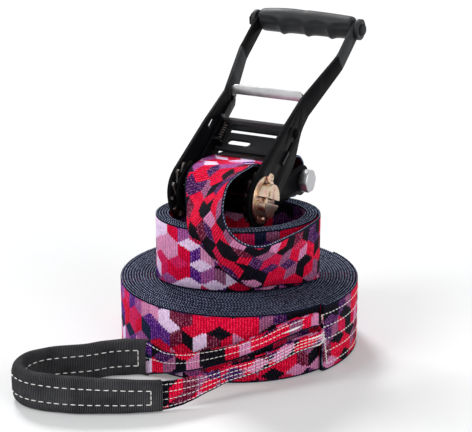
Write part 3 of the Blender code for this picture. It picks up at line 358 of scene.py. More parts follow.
def makePrintedWebbing():
    graph = newGraph("printedWebbing")
    spread = graph.spread
    along, across = graph.uv()
    column = along / weave["columnPitch"]
    sideways = abs(column.math("FRACT") - 0.5)
    phase = sideways.math("MULTIPLY_ADD", weave["slant"], across / weave["threadPitch"])
    ridge = 1.0 - sideways.math("POWER", 2.0) * 4.0
    height = ((phase * fullTurn).math("SINE") * weave["waveHeight"]
              + ridge * weave["ridgeHeight"])
    row = phase.math("FLOOR")
    chance = graph.chance((column * 2.0).math("FLOOR"), row, 3.0, "Value")

    # each stitch of the weave takes one colour
    number, choice, blockPlace = blockNumber(
        graph, (column.math("FLOOR") + 0.5) * weave["columnPitch"],
        (row + 0.5) * weave["threadPitch"])
    turn = (blockPlace - weave["coolAt"]) * (fullTurn / weave["coolEvery"])
    cool = choice < spread(turn.math("COSINE"), 0.10, 0.95, 0.0, 0.95)
    colour = graph.mix(cool, graph.ramp(number, hotColours, "CONSTANT"),
                       graph.ramp(number, coolColours, "CONSTANT"))
    # painted shade and highlight of the weave: pale blocks show less of the painted shade
    # between their threads, reds and darks fewer of the painted glints
    paleBlock = spread(graph.parts("SeparateColor", colour)[1], 0.20, 0.66, 0.0, 0.75)
    shade = spread(height, *weave["shade"])
    colour = graph.dim(colour, paleBlock.math("MULTIPLY_ADD", weave["brightest"] - shade, shade))
    colour = graph.dim(colour, spread(chance, 0.0, 1.0, *weave["uneven"]))
    # painted glints: pale flecks on the tops of some threads
    fleck = spread(chance, 0.50, 0.90, 0.05, 0.70) * spread(height, 0.50, 0.80, 0.0, 1.0)
    fleck = fleck * spread(number < weave["redBelow"], 0.0, 1.0, 1.0, weave["redFlecks"])
    fleck = fleck * spread(number > weave["darkAbove"], 0.0, 1.0, 1.0, weave["darkFlecks"])
    colour = graph.mix(fleck, colour, weave["fleck"])
    # painted shade on the sewn loop's print
    colour = graph.dim(colour, spread(along, weave["loopEnd"] - weave["loopFade"],
                                      weave["loopEnd"], weave["loopShade"], 1.0))

    # rope-like edge: pale slanted beads on navy, one row along each edge of the strap
    middle = webbing["width"] / 2
    fromMiddle = abs(across - middle)
    beyond = (fromMiddle - middle) / webbing["edgeMark"]
    beadPhase = along.math("MULTIPLY_ADD", 1.0 / weave["beadPitch"], beyond * weave["beadSlant"])
    uneven = graph.noise(1.0, 1.0, place=graph.vector(along * 260.0, beyond, 0.0))
    bead = (spread((beadPhase * fullTurn).math("SINE"), 0.0, 0.75, 0.0, 1.0)
            * spread(abs(beyond - 1.0), 0.20, 0.75, 1.0, 0.0)
            * spread(uneven, 0.36, 0.60, 0.16, 1.0))
    onEdge = fromMiddle > middle - webbing["hem"]
    colour = graph.mix(onEdge, colour, graph.mix(bead, weave["edgeDark"], weave["edgePale"]))
    graph.bump(onEdge.math("MULTIPLY_ADD", bead * weave["beadHeight"] - height, height),
               weave["bumpDepth"], 0.9)
    return graph.surface(colour, 0.8, specular=0.05)


def makeSleeveCloth():
    graph = newGraph("sleeveCloth")
    along, across = graph.uv()
    rib = (along * (fullTurn / ribbing["pitch"])).math("SINE")
    thread = (across * (fullTurn / ribbing["thread"])).math("SINE")
    # painted highlight on the rib crests and painted shade between them, uneven at random
    share = graph.spread(rib, -1.0, 1.0, 0.15, 1.0) * graph.noise(60.0, 3.0)
    graph.bump(rib * 0.5 + thread * 0.12, ribbing["depth"], 0.9)
    return graph.surface(graph.mix(share, ribbing["dark"], ribbing["pale"]), 0.85,
                         specular=0.05)


def makeThread():
    graph = newGraph("whiteThread")
    cloud = graph.noise(1500.0, 2.0)
    graph.bump(cloud, 0.1 * mm, 0.6)
    return graph.surface(graph.mix(cloud, (0.70, 0.68, 0.66), (0.95, 0.94, 0.92)), 0.6,
                         sheen=0.3)


# Materials of the ratchet, and the places where they change

pullBar = {
    "foot": spindleAxis + alongHandle * 91.0 * mm,
    "rise": alongHandle * cos(barLean) + overHandle * sin(barLean),
    "brightFrom": 1.6 * mm,
    "start": -2.1 * mm,
    "half": 29.75 * mm,
    "wall": 2.0 * mm,
    "front": -1.8 * mm,
    "low": 2.8 * mm,
    "top": 10.0 * mm,
    "innerRadius": 3.2 * mm,
    "cornerRadius": 4.5 * mm,
    "cornerSteps": 6,
    "bridge": (-20.3 * mm, 1.3 * mm),
}
# each arm of the handle is folded outward and back at these distances from the spindle
armFold = {
    "start": 88.0 * mm,
    "end": 137.0 * mm,
    "oldEnd": 142.0 * mm,
    "spread": 9.0 * mm,
}
# painted sheen on the black paint: how strong on the arms and on the web, where the web lies,
# how far the sheen fades in, and its grey
paintedSheen = {
    "arms": 0.55,
    "web": 0.6,
    "webHalf": 27.0 * mm,
    "webStart": 42.0 * mm,
    "fade": 12.0 * mm,
    "colour": (0.060, 0.062, 0.066),
}
brassFrom = 32.52 * mm   # outside the right flange
brassStops = (
    (0.30, (0.20, 0.11, 0.08)), (0.42, (0.64, 0.46, 0.31)), (0.50, (0.56, 0.47, 0.36)),
    (0.58, (0.68, 0.41, 0.33)), (0.70, (0.26, 0.18, 0.13)),
)


# black paint with a painted sheen: greyer where an arm's fold and the web face the light
def makeBlackPaint():
    graph = newGraph("blackPaint")
    cloud = graph.noise(35.0, 3.0)
    colour = graph.mix(cloud, (0.0022, 0.0022, 0.0027), (0.0065, 0.0065, 0.0075))
    lift = graph.distance(spindleAxis, alongHandle)
    side = graph.distance(spindleAxis, alongSpindle)
    # painted sheen: the right arm above its upper fold, the left arm between its folds, and the
    # web
    upper = lift > armFold["end"]
    lower = (graph.spread(lift, armFold["start"] - paintedSheen["fade"], armFold["end"], 0.0, 1.0)
             * (1.0 - upper))
    sheenShare = (side > 0.0).math("MULTIPLY_ADD", upper - lower, lower)
    web = (abs(side) < paintedSheen["webHalf"]) * (lift > paintedSheen["webStart"])
    sheenShare = sheenShare.math("MAXIMUM", web * paintedSheen["web"])
    graph.bump(graph.noise(900.0, 3.0, 0.6), 0.06 * mm, 0.35)
    return graph.surface(graph.mix(sheenShare * paintedSheen["arms"], colour, paintedSheen["colour"]),
                         graph.spread(cloud, 0.3, 0.7, 0.34, 0.48), specular=0.014)


def makeZinc(name, dark, pale, rough):
    graph = newGraph(name)
    cloud = graph.noise(70.0, 4.0, 0.6)
    stretched = graph.value("Mapping", graph.place(), None, None, (300.0, 2600.0, 2600.0))
    graph.bump(graph.value("TexNoise", stretched), 0.02 * mm, 0.5)
    return graph.surface(graph.mix(cloud, dark, pale), graph.spread(cloud, 0.3, 0.7, *rough),
                         metallic=1.0)


# yellow zinc shows only outside the right flange, the rest is dark
def makeYellowZinc():
    graph = newGraph("yellowZinc")
    cloud = graph.noise(110.0, 3.0, 0.55)
    bright = graph.distance(spindleAxis, alongSpindle) > brassFrom
    graph.bump(graph.noise(700.0, 3.0), 0.04 * mm, 0.4)
    return graph.surface(graph.mix(bright, (0.012, 0.011, 0.010), graph.ramp(cloud, brassStops)),
                         graph.spread(cloud, 0.3, 0.7, 0.22, 0.36), metallic=1.0)


# the pull bar is bright, the pawl's legs below it are dark, the bridge is grey
def makePawlSteel():
    graph = newGraph("pawlSteel")
    cloud = graph.noise(90.0, 4.0, 0.6)
    bright = graph.distance(pullBar["foot"], pullBar["rise"]) > pullBar["brightFrom"]
    place, reach = pullBar["bridge"]
    bridge = abs(graph.distance(pullBar["foot"], alongHandle) - place) < reach
    dark = graph.mix(bridge, (0.003, 0.003, 0.004), (0.10, 0.10, 0.105))
    pale = graph.mix(cloud, (0.36, 0.36, 0.37), (0.74, 0.74, 0.75))
    graph.bump(graph.noise(900.0, 3.0), 0.04 * mm, 0.4)
    return graph.surface(graph.mix(bright, dark, pale),
                         graph.spread(cloud, 0.3, 0.7, 0.26, 0.42), bright, 0.1)


def makeGripPlastic():
    graph = newGraph("gripPlastic")
    cloud = graph.noise(40.0, 3.0)
    graph.bump(graph.noise(1600.0, 2.0, 0.6), 0.08 * mm, 0.5)
    return graph.surface(graph.mix(cloud, (0.013, 0.0135, 0.015), (0.026, 0.027, 0.030)),
                         graph.spread(cloud, 0.3, 0.7, 0.42, 0.58), specular=0.2)


printedWebbing = makePrintedWebbing()
sleeveCloth = makeSleeveCloth()
whiteThread = makeThread()
blackPaint = makeBlackPaint()
pawlSteel = makePawlSteel()
darkSteel = makeZinc("darkSteel", (0.015, 0.014, 0.013), (0.11, 0.10, 0.095), (0.25, 0.45))
satinZinc = makeZinc("satinZinc", (0.40, 0.40, 0.41), (0.52, 0.52, 0.53), (0.32, 0.45))
yellowZinc = makeYellowZinc()
gripPlastic = makeGripPlastic()
print("materials ready")


# Skins between rings of points, and straps swept along stations

def joinRings(bm, ring, other):
    count = len(ring)
    return [bm.faces.new((ring[i], ring[(i + 1) % count], other[(i + 1) % count], other[i]))
            for i in range(count)]


# section of flat webbing with soft edges: across, face and print coordinate
def flatSection(spans):
    width, thickness, soft = webbing["width"], webbing["thickness"], webbing["edgeRound"]
    half = width / 2 - soft
    points = []
    for side in (1, -1):
        for i in range(spans + 1):
            across = side * half * (2 * i / spans - 1)
            points.append((across, side * thickness / 2, across + width / 2))
        for share, mark in ((0.25, 0.5), (-0.25, 1.5)):
            across = side * (half + soft)
            points.append((across, side * thickness * share,
                           across + side * mark * webbing["edgeMark"] + width / 2))
    return points


# closed skin through stations of (centre, across, face, length, section)
def sweep(name, stations, material, capped=True, lengthStart=0.0):
    bm = bmesh.new()
    layer = bm.loops.layers.uv.new("strap")
    rings = []
    for centre, across, face, length, section in stations:
        ring = [bm.verts.new(centre + across * a + face * b) for a, b, mark in section]
        rings.append((ring, [(lengthStart + length, mark) for a, b, mark in section]))
    for (ring, marks), (other, ends) in zip(rings, rings[1:]):
        for i, quad in enumerate(joinRings(bm, ring, other)):
            j = (i + 1) % len(ring)
            for loop, mark in zip(quad.loops, (marks[i], marks[j], ends[j], ends[i])):
                loop[layer].uv = mark
    if capped:
        for ring, marks in (rings[0], rings[-1]):
            for loop in bm.faces.new(ring).loops:
                loop[layer].uv = (marks[0][0], -webbing["hem"])
    bmesh.ops.recalc_face_normals(bm, faces=bm.faces)
    return newObject(name, bm, material)


# the way that a line of points runs at one of them
def runAt(points, i):
    return points[min(i + 1, len(points) - 1)] - points[max(i - 1, 0)]


# stations of a flat strap from its two edges at each place
def stationsFromEdges(edges, spans):
    middles = [(low + high) / 2 for low, high in edges]
    section = flatSection(spans)
    stations = []
    length = 0.0
    for i, (low, high) in enumerate(edges):
        across = (high - low).normalized()
        face = runAt(middles, i).cross(across).normalized()
        if i:
            length += (middles[i] - middles[i - 1]).length
        stations.append((middles[i], across, face, length, section))
    return stations


def smoothRows(rows, steps):
    ends = [rows[0]] + list(rows) + [rows[-1]]
    out = []
    for corners in zip(ends, ends[1:], ends[2:], ends[3:]):
        for i in range(steps):
            t = i / steps
            out.append(tuple(
                0.5 * (2 * b + (c - a) * t + (2 * a - 5 * b + 4 * c - d) * t * t
                       + (3 * b - a - 3 * c + d) * t ** 3)
                for a, b, c, d in zip(*corners)))
    out.append(tuple(rows[-1]))
    return out


def smoothStep(value, low, high):
    share = min(max((value - low) / (high - low), 0.0), 1.0)
    return share * share * (3 - 2 * share)


def polar(radius, angle, height):
    return Vector((radius * cos(angle), radius * sin(angle), height))


def finishWebbing(strap, length, *nodes):
    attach(strap, "packed_line")
    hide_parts(*nodes)
    print(f"{strap.name}: {length:.3f} m of webbing")


# The main line's round roll, wound right in to the middle

mainRoll = {
    "radius": 86.8 * mm,
    "inset": 0.75 * mm,
    "pitch": 2.0 * mm,
    "turns": 40,
    "pointsATurn": 72,
    "startDeg": -47.0,
    "edgeDrift": 0.22 * mm,   # how uneven the turns' edges are
    "driftsATurn": 5,
    "printStart": 1.00,
}


def makeMainRoll():
    chance = random.Random(4)
    knots = mainRoll["driftsATurn"]
    drift = [chance.uniform(-1, 1) for _ in range(mainRoll["turns"] * knots + 4)]
    edges = []
    for i in range(mainRoll["turns"] * mainRoll["pointsATurn"] + 1):
        turns = i / mainRoll["pointsATurn"]
        knot = turns * knots
        share = smoothStep(knot % 1.0, 0.0, 1.0)
        lift = drift[int(knot)] * (1 - share) + drift[int(knot) + 1] * share
        lift = (lift + 1.0) * mainRoll["edgeDrift"] * smoothStep(turns, 0.3, 1.2)
        low = polar(mainRoll["radius"] - mainRoll["inset"] - mainRoll["pitch"] * turns,
                    radians(mainRoll["startDeg"]) + fullTurn * turns, lift)
        edges.append((low, low + upward * webbing["width"]))
    roll = sweep("mainLineRoll", stationsFromEdges(edges, 3), printedWebbing,
                 lengthStart=mainRoll["printStart"])
    length = sum((b[0] - a[0]).length for a, b in zip(edges, edges[1:]))
    finishWebbing(roll, length, "main_line_core", "main_line_roll")


makeMainRoll()


# The ratchet's strap: sewn loop, run over the spindle and oval roll, in one piece

strapLoop = {
    "centre": (72.0 * mm, -2.7 * mm),
    "radius": 15.0 * mm,
    "sewnEnd": 40.0 * mm,
    "plyGap": 0.3 * mm,
    "steps": 30,
}
# the run's two edges at each place, in webbing widths from the origin
runShares = (
    ((-0.520, 0.228, 2.674), (0.372, -0.222, 2.692)),
    ((-0.580, 0.080, 2.670), (0.316, -0.344, 2.754)),
    ((-0.636, -0.070, 2.662), (0.264, -0.470, 2.796)),
    ((-0.688, -0.216, 2.622), (0.204, -0.600, 2.808)),
    ((-0.722, -0.338, 2.530), (0.138, -0.734, 2.808)),
    ((-0.732, -0.436, 2.406), (0.066, -0.870, 2.804)),
    ((-0.722, -0.538, 2.282), (-0.006, -1.006, 2.792)),
    ((-0.706, -0.676, 2.172), (-0.078, -1.144, 2.766)),
    ((-0.692, -0.856, 2.082), (-0.140, -1.284, 2.724)),
    ((-0.664, -0.978, 1.976), (-0.174, -1.428, 2.658)),
    ((-0.588, -1.008, 1.868), (-0.194, -1.558, 2.566)),
    ((-0.492, -1.004, 1.764), (-0.190, -1.666, 2.450)),
    ((-0.398, -1.038, 1.666), (-0.152, -1.750, 2.326)),
    ((-0.302, -1.074, 1.566), (-0.070, -1.804, 2.210)),
    ((-0.202, -1.106, 1.468), (0.046, -1.828, 2.116)),
    ((-0.096, -1.132, 1.374), (0.178, -1.814, 2.054)),
    ((0.016, -1.148, 1.288), (0.312, -1.758, 2.024)),
    ((0.132, -1.140, 1.222), (0.430, -1.668, 2.020)),
    ((0.248, -1.094, 1.182), (0.532, -1.558, 2.024)),
    ((0.360, -1.014, 1.164), (0.622, -1.444, 2.028)),
    ((0.466, -0.922, 1.148), (0.706, -1.330, 2.030)),
    ((0.574, -0.830, 1.128), (0.784, -1.214, 2.028)),
    ((0.688, -0.746, 1.106), (0.858, -1.096, 2.022)),
    ((0.812, -0.668, 1.088), (0.934, -0.966, 2.014)),
    ((0.934, -0.584, 1.070), (1.014, -0.820, 2.016)),
    ((1.040, -0.484, 1.050), (1.088, -0.668, 2.018)),
    ((1.120, -0.374, 1.030), (1.146, -0.512, 2.016)),
    ((1.172, -0.262, 1.015), (1.174, -0.360, 2.012)),
)
runSteps = 5
# half length, half depth, shift to the front and height of the oval roll's two rims
ovalRoll = {
    "low": (59.2 * mm, 37.2 * mm, -5.0 * mm, 50.3 * mm),
    "high": (58.9 * mm, 44.6 * mm, -9.3 * mm, 100.3 * mm),
    "pitch": 2.0 * mm,
    "turns": 5,
    "pointsATurn": 96,
}


def ovalEdges(turns):
    angle = fullTurn * turns
    shrink = ovalRoll["pitch"] * turns
    return [Vector(((length - shrink) * cos(angle),
                    (depth - shrink) * sin(angle) + shift, height))
            for length, depth, shift, height in (ovalRoll["low"], ovalRoll["high"])]


# sewn end, round the tail bolt and back over the top, in the base's own plane
def loopRows():
    centre = Vector(strapLoop["centre"])
    radius = strapLoop["radius"]
    low, high = runShares[0]
    away = (Vector(low) + Vector(high)) / 2 * webbing["width"] - spindleAxis
    start = Vector((away.dot(toTheBack), away.z))
    top = centre + Vector((0.0, radius))
    share = (top.x - strapLoop["sewnEnd"]) / (top.x - start.x)
    sewnEnd = top.lerp(start, share) - Vector((0.0, webbing["thickness"] + strapLoop["plyGap"]))
    reach = sewnEnd - centre
    first = atan2(reach.y, reach.x) + acos(radius / reach.length)
    last = 2.5 * pi

    def onLoop(angle):
        return centre + radius * Vector((cos(angle), sin(angle)))

    steps = strapLoop["steps"]
    rows = [sewnEnd, sewnEnd.lerp(onLoop(first), 0.5)]
    rows += [onLoop(first + (last - first) * i / steps) for i in range(steps + 1)]
    return rows + [top.lerp(start, part) for part in (0.25, 0.5, 0.75)]


def makeRatchetStrap():
    half = webbing["width"] / 2
    edges = []
    for row in loopRows():
        middle = spindleAxis + toTheBack * row.x + upward * row.y
        edges.append((middle - alongSpindle * half, middle + alongSpindle * half))
    sewnPlaces = len(edges)
    rows = [tuple(value * webbing["width"] for value in low + high) for low, high in runShares]
    low, high = ovalEdges(0.0)
    rows.append((*low, *high))
    for row in smoothRows(rows, runSteps)[:-1]:
        low, high = Vector(row[:3]), Vector(row[3:])
        reach = (high - low).normalized() * half
        edges.append(((low + high) / 2 - reach, (low + high) / 2 + reach))
    edges += [ovalEdges(i / ovalRoll["pointsATurn"])
              for i in range(ovalRoll["turns"] * ovalRoll["pointsATurn"] + 1)]
    stations = stationsFromEdges(edges, 8)
    strap = sweep("ratchetStrap", stations, printedWebbing,
                  lengthStart=weave["loopEnd"] - stations[sewnPlaces - 1][3])
    finishWebbing(strap, stations[-1][3], "ratchet_strap_roll", "ratchet_strap_run")


makeRatchetStrap()


# The sewn eye: one strap from the seam round the loop and back to the roll. Angle in degrees,
# then in webbing widths how far from the roll, how high and how tall the folded strap is,
# and how far its plies keep their depth (1.0 where the row stops short)

nearLegShares = (
    (-48.2, 0.034, 0.560, 0.460, 0.55), (-49.6, 0.062, 0.590, 0.300, 0.80),
    (-51.5, 0.105, 0.608, 0.205), (-54.0, 0.152, 0.618, 0.165), (-58.0, 0.185, 0.622, 0.152),
    (-62.0, 0.190, 0.612, 0.152), (-66.0, 0.190, 0.590, 0.155), (-70.0, 0.195, 0.546, 0.158),
    (-75.0, 0.210, 0.485, 0.160), (-79.4, 0.240, 0.440, 0.165), (-84.8, 0.290, 0.398, 0.180),
    (-94.3, 0.430, 0.342, 0.205), (-101.7, 0.655, 0.270, 0.270), (-106.4, 0.840, 0.232, 0.360),
)
# angle, distance from the roll in webbing widths, height as a share of the whole sleeve
sleeveShares = (
    (-111.3, 1.030, 0.83), (-117.5, 1.240, 0.88), (-123.5, 1.460, 0.94), (-128.7, 1.670, 0.98),
    (-133.5, 1.850, 1.00), (-137.8, 1.970, 1.00), (-141.7, 1.980, 1.00), (-144.7, 1.880, 1.00),
    (-146.7, 1.685, 1.00), (-147.2, 1.430, 1.00), (-145.4, 1.132, 1.00), (-142.9, 0.848, 1.00),
    (-140.9, 0.532, 1.00), (-136.2, 0.262, 1.00), (-131.0, 0.155, 1.00),
)
farLegShares = (
    (-122.0, 0.145, 0.275, 0.320), (-113.0, 0.135, 0.325, 0.250), (-104.0, 0.125, 0.410, 0.235),
    (-95.0, 0.115, 0.500, 0.210), (-86.0, 0.110, 0.600, 0.180), (-78.0, 0.106, 0.695, 0.166),
    (-72.0, 0.104, 0.775, 0.166), (-66.0, 0.102, 0.826, 0.166),
    (-62.0, 0.098, 0.852, 0.166, 0.95), (-58.0, 0.082, 0.858, 0.170, 0.80),
    (-54.0, 0.056, 0.845, 0.180, 0.55), (-51.4, 0.036, 0.820, 0.200, 0.35),
    (-49.6, 0.024, 0.790, 0.150, 0.25),
)
sleeve = {
    "height": 26.5 * mm,
    "depth": 9.2 * mm,
    "wall": 0.9 * mm,
    "wayRound": 74.0 * mm,
    "waviness": 0.60 * mm,
    "sides": 28,
    "squareness": (0.55, 0.75),
}
eye = {
    "thickness": 1.25 * mm,
    "seat": 0.3 * mm,
    "seamDeg": (33.0, -46.4),
    "seamRows": 11,
    "bend": 2.3 * mm,
    "mostFolds": 7,
    "parts": 60,
    "steps": 4,
    "flatHeight": 1.2,
    "sleevedHeight": 0.484,
    "printStart": 1.40,
}


# Middle line of a strap folded to and fro: the first ply's free edge hangs at the foot
def foldedLine(height):
    step = (webbing["width"] - 2 * webbing["edgeRound"]) / eye["parts"]
    bend = eye["bend"] / 2
    points = [Vector((0.0, 0.0))]
    for i in range(eye["parts"]):
        turned = 1.0
        for fold in range(eye["mostFolds"]):
            place = height * (fold + 1)
            turned += (-1) ** fold * smoothStep(step * (i + 0.5), place - bend, place + bend)
        heading = pi * turned
        points.append(points[-1] + step * Vector((cos(heading), sin(heading))))
    low = Vector((min(p.x for p in points), min(p.y for p in points)))
    high = Vector((max(p.x for p in points), max(p.y for p in points)))
    return [point - (low + high) / 2 for point in points]


# Closed section round that line; from 0 to 1 the other edge's ply comes to the front
def foldedSection(height, squeeze, otherWay):
    line = foldedLine(height)
    other = [Vector((point.x, -point.y)) for point in reversed(line)]
    line = [first.lerp(second, otherWay) for first, second in zip(line, other)]
    half = eye["thickness"] / 2
    soft = webbing["edgeRound"]
    step = (webbing["width"] - 2 * soft) / eye["parts"]
    front, back = [], []
    for i, point in enumerate(line):
        run = runAt(line, i).normalized()
        for side, face in ((1, front), (-1, back)):
            place = point + Vector((-run.y, run.x)) * side * half
            face.append((place.x, place.y * squeeze, soft + step * i))
    ends = []
    for end, beside, mark, way in ((line[-1], line[-2], webbing["width"], 1),
                                   (line[0], line[1], 0.0, -1)):
        run = (end - beside).normalized()
        for side, spread in ((1, 0.5), (-1, 1.5)):
            place = end + run * soft + Vector((-run.y, run.x)) * way * side * half * 0.5
            ends.append((place.x, place.y * squeeze, mark + way * spread * webbing["edgeMark"]))
    return front + ends[:2] + list(reversed(back)) + [ends[3], ends[2]]


# Angle, radius, middle height, fold height and squeeze at each place along the eye
def eyeRows():
    width = webbing["width"]
    surface = mainRoll["radius"] + eye["seat"] + eye["thickness"] / 2
    start, end = eye["seamDeg"]
    count = eye["seamRows"]
    sewn = [(start - (start - end) * i / (count - 1), surface, width / 2,
             eye["flatHeight"] * width, 1.0) for i in range(count)]

    def scaled(shares):
        return [(angle, mainRoll["radius"] + out * width, middle * width, tall * width,
                 *(squeeze or (1.0,))) for angle, out, middle, tall, *squeeze in shares]

    middle = sleeve["height"] / 2 / width
    covered = scaled([(angle, out, middle * tall, eye["sleevedHeight"] * tall)
                      for angle, out, tall in sleeveShares])
    first = len(sewn) + len(nearLegShares)
    rows = sewn + scaled(nearLegShares) + covered + scaled(farLegShares)
    steps = eye["steps"]
    route = []
    for i, row in enumerate(smoothRows([row[:3] for row in rows], steps)):
        before = rows[min(i // steps, len(rows) - 1)]
        after = rows[min(i // steps + 1, len(rows) - 1)]
        share = i % steps / steps
        route.append((*row, before[3] + (after[3] - before[3]) * share,
                      before[4] + (after[4] - before[4]) * share))
    return route, first * steps, (first + len(covered) - 1) * steps


def makeEyeWebbing():
    rows, first, last = eyeRows()
    places = [polar(row[1], radians(row[0]), row[2]) for row in rows]
    stations = []
    length = 0.0
    for i, (row, place) in enumerate(zip(rows, places)):
        run = runAt(places, i)
        outward = upward.cross(Vector((run.x, run.y, 0.0)).normalized())
        if i:
            length += (place - places[i - 1]).length
        section = foldedSection(row[3], row[4], smoothStep(i, first + 2, last - 2))
        stations.append((place, -upward, outward, length, section))
    strap = sweep("eyeWebbing", stations, printedWebbing, lengthStart=eye["printStart"])
    finishWebbing(strap, length, "eye_webbing")
    return stations, first, last


eyeStations, sleeveFirst, sleeveLast = makeEyeWebbing()


def sleeveSection(height, depth):
    points = []
    for i in range(sleeve["sides"]):
        angle = fullTurn * i / sleeve["sides"]
        across, face = [copysign(abs(value) ** power, value) for value, power in
                        zip((cos(angle), sin(angle)), sleeve["squareness"])]
        points.append((across * height / 2, face * depth / 2, 2 * height * i / sleeve["sides"]))
    return points


def makeSleeve():
    chance = random.Random(11)
    waves = [(chance.uniform(50, 130), chance.uniform(0, 6.3)) for _ in range(4)]
    stations = []
    for place, down, outward, length, folded in eyeStations[sleeveFirst:sleeveLast + 1]:
        wave = sum(sin(rate * length * 3 + shift) for rate, shift in waves) / 4
        swell = sum(cos(rate * length * 2.3 + shift) for rate, shift in waves) / 4
        section = sleeveSection(2 * place.z + sleeve["waviness"] * wave,
                                sleeve["depth"] + sleeve["waviness"] * swell)
        stations.append((place, upward, outward, length, section))
    tube = sweep("eyeSleeve", stations, sleeveCloth, capped=False)
    wall = tube.modifiers.new("wall", "SOLIDIFY")
    wall.thickness = sleeve["wall"]
    wall.offset = -1.0
    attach(tube, "packed_line")
    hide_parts("eye_sleeve")
    stations[-1][3] - stations[0][3]


makeSleeve()
print("eye and sleeve ready")


# Stitches: short lengths of thread lying on the cloth. A seam's sizes are those of its
# dashes and gaps, the thread's radius and how far it wanders

sleeveSewing = {
    "rows": (0.31, 0.75),   # shares of the sleeve's height
    "row": (3.6 * mm, 1.9 * mm, 0.34 * mm, 0.05 * mm),
    "end": (3.0 * mm, 0.5 * mm, 0.36 * mm, 0.0),
    "endPlace": 0.7,
    "lift": 0.35 * mm,
}
panel = {
    "rows": (5.0 * mm, 14.5 * mm, 24.0 * mm, 33.5 * mm, 43.0 * mm),
    "row": (2.5 * mm, 1.3 * mm, 0.38 * mm, 0.15 * mm),
    "rowSteps": 60,
    "zigzag": ((-48.4, 43.5 * mm), (-44.4, 4.5 * mm)),
    "zigzagSteps": 34,
    "zigzagDeg": 0.32,
    "zigzagThread": 0.42 * mm,
    "rightDeg": 31.0,
    "lift": 0.15 * mm,
}
# rows are shares of the folded leg's height above its middle
legSewing = {
    "nearRows": (0.40, 0.14, -0.12, -0.38),
    "farRows": (0.46, 0.02),
    "row": (2.6 * mm, 0.7 * mm, 0.27 * mm, 0.05 * mm),
    "lift": 0.135 * mm,
    "wave": 0.16 * mm,
    "parts": 4,
    "hookThread": 0.55 * mm,
    "hookLift": 0.2 * mm,
    "tackThread": 0.75 * mm,
    "tackLift": 0.3 * mm,
}


def threadTube(bm, points, radius, sides=6):
    rings = []
    for i, point in enumerate(points):
        run = runAt(points, i).normalized()
        side = run.orthogonal().normalized()
        other = run.cross(side)
        size = radius * (0.45 if i in (0, len(points) - 1) else 1.0)
        rings.append([bm.verts.new(point + size * (cos(fullTurn * k / sides) * side
                                                  + sin(fullTurn * k / sides) * other))
                      for k in range(sides)])
    for ring, following in zip(rings, rings[1:]):
        joinRings(bm, ring, following)
    bm.faces.new(list(reversed(rings[0])))
    bm.faces.new(rings[-1])


# place at a distance along a line of points
def placeAlong(points, distance):
    for first, second in zip(points, points[1:]):
        reach = (second - first).length
        if distance <= reach:
            return first.lerp(second, distance / reach if reach else 0.0)
        distance -= reach
    return points[-1].copy()


# a whole number of dashes, the first and the last right at the ends of the row
def addStitches(bm, points, sizes, chance):
    dash, gap, radius, wander = sizes
    total = sum((b - a).length for a, b in zip(points, points[1:]))
    count = max(1, round((total + gap) / (dash + gap)))
    pitch = (total + gap) / count
    for number in range(count):
        distance = number * pitch
        size = pitch - gap * chance.uniform(0.85, 1.25)
        if number == count - 1:
            size = total - distance
        line = []
        for i in range(5):
            place = placeAlong(points, distance + size * i / 4)
            place.z += chance.uniform(-wander, wander)
            line.append(place)
        threadTube(bm, line, radius)


def finishStitches(name, bm):
    thread = newObject(name, bm, whiteThread)
    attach(thread, "packed_line")


def sleeveLine(share, side):
    lift = sleeve["depth"] / 2 + sleeveSewing["lift"]
    points = [Vector((place.x, place.y, 2 * place.z * share)) + outward * side * lift
              for place, down, outward, length, section
              in eyeStations[sleeveFirst + 1:sleeveLast - 1]]
    points[0] = points[0].lerp(points[1], sleeveSewing["endPlace"])
    points[-1] = points[-1].lerp(points[-2], sleeveSewing["endPlace"])
    return points


def makeSleeveStitches():
    bm = bmesh.new()
    chance = random.Random(5)
    for side in (1, -1):
        lines = [sleeveLine(share, side) for share in sleeveSewing["rows"]]
        for line in lines:
            addStitches(bm, line, sleeveSewing["row"], chance)
        for which in (0, -1):
            addStitches(bm, [line[which] for line in lines], sleeveSewing["end"], chance)
    finishStitches("sleeveStitches", bm)


def rollPoint(angleDeg, height):
    radius = mainRoll["radius"] + eye["seat"] + eye["thickness"] + panel["lift"]
    return polar(radius, radians(angleDeg), height)


def makePanelStitches():
    bm = bmesh.new()
    chance = random.Random(8)
    (topDeg, topHeight), (footDeg, footHeight) = panel["zigzag"]
    steps = panel["rowSteps"]
    for height in panel["rows"]:
        share = (height - footHeight) / (topHeight - footHeight)
        left = footDeg + (topDeg - footDeg) * share
        span = panel["rightDeg"] - left
        points = [rollPoint(left + span * i / steps, height) for i in range(steps + 1)]
        addStitches(bm, points, panel["row"], chance)
    line = []
    for i in range(panel["zigzagSteps"] + 1):
        share = i / panel["zigzagSteps"]
        angle = topDeg + (footDeg - topDeg) * share + (-1) ** i * panel["zigzagDeg"]
        line.append(rollPoint(angle, topHeight + (footHeight - topHeight) * share))
    threadTube(bm, line, panel["zigzagThread"])
    finishStitches("panelStitches", bm)


# Place on a leg's outer face, a share of its height above its middle
def legPoint(index, share, side, lift):
    place, across, outward, length, section = eyeStations[index]
    heights = [point[0] for point in section]
    tall = max(heights) - min(heights)
    reach = -share * tall
    near = [point[1] * side for point in section if abs(point[0] - reach) < 0.12 * tall]
    return place + across * reach + outward * side * (max(near) + lift)


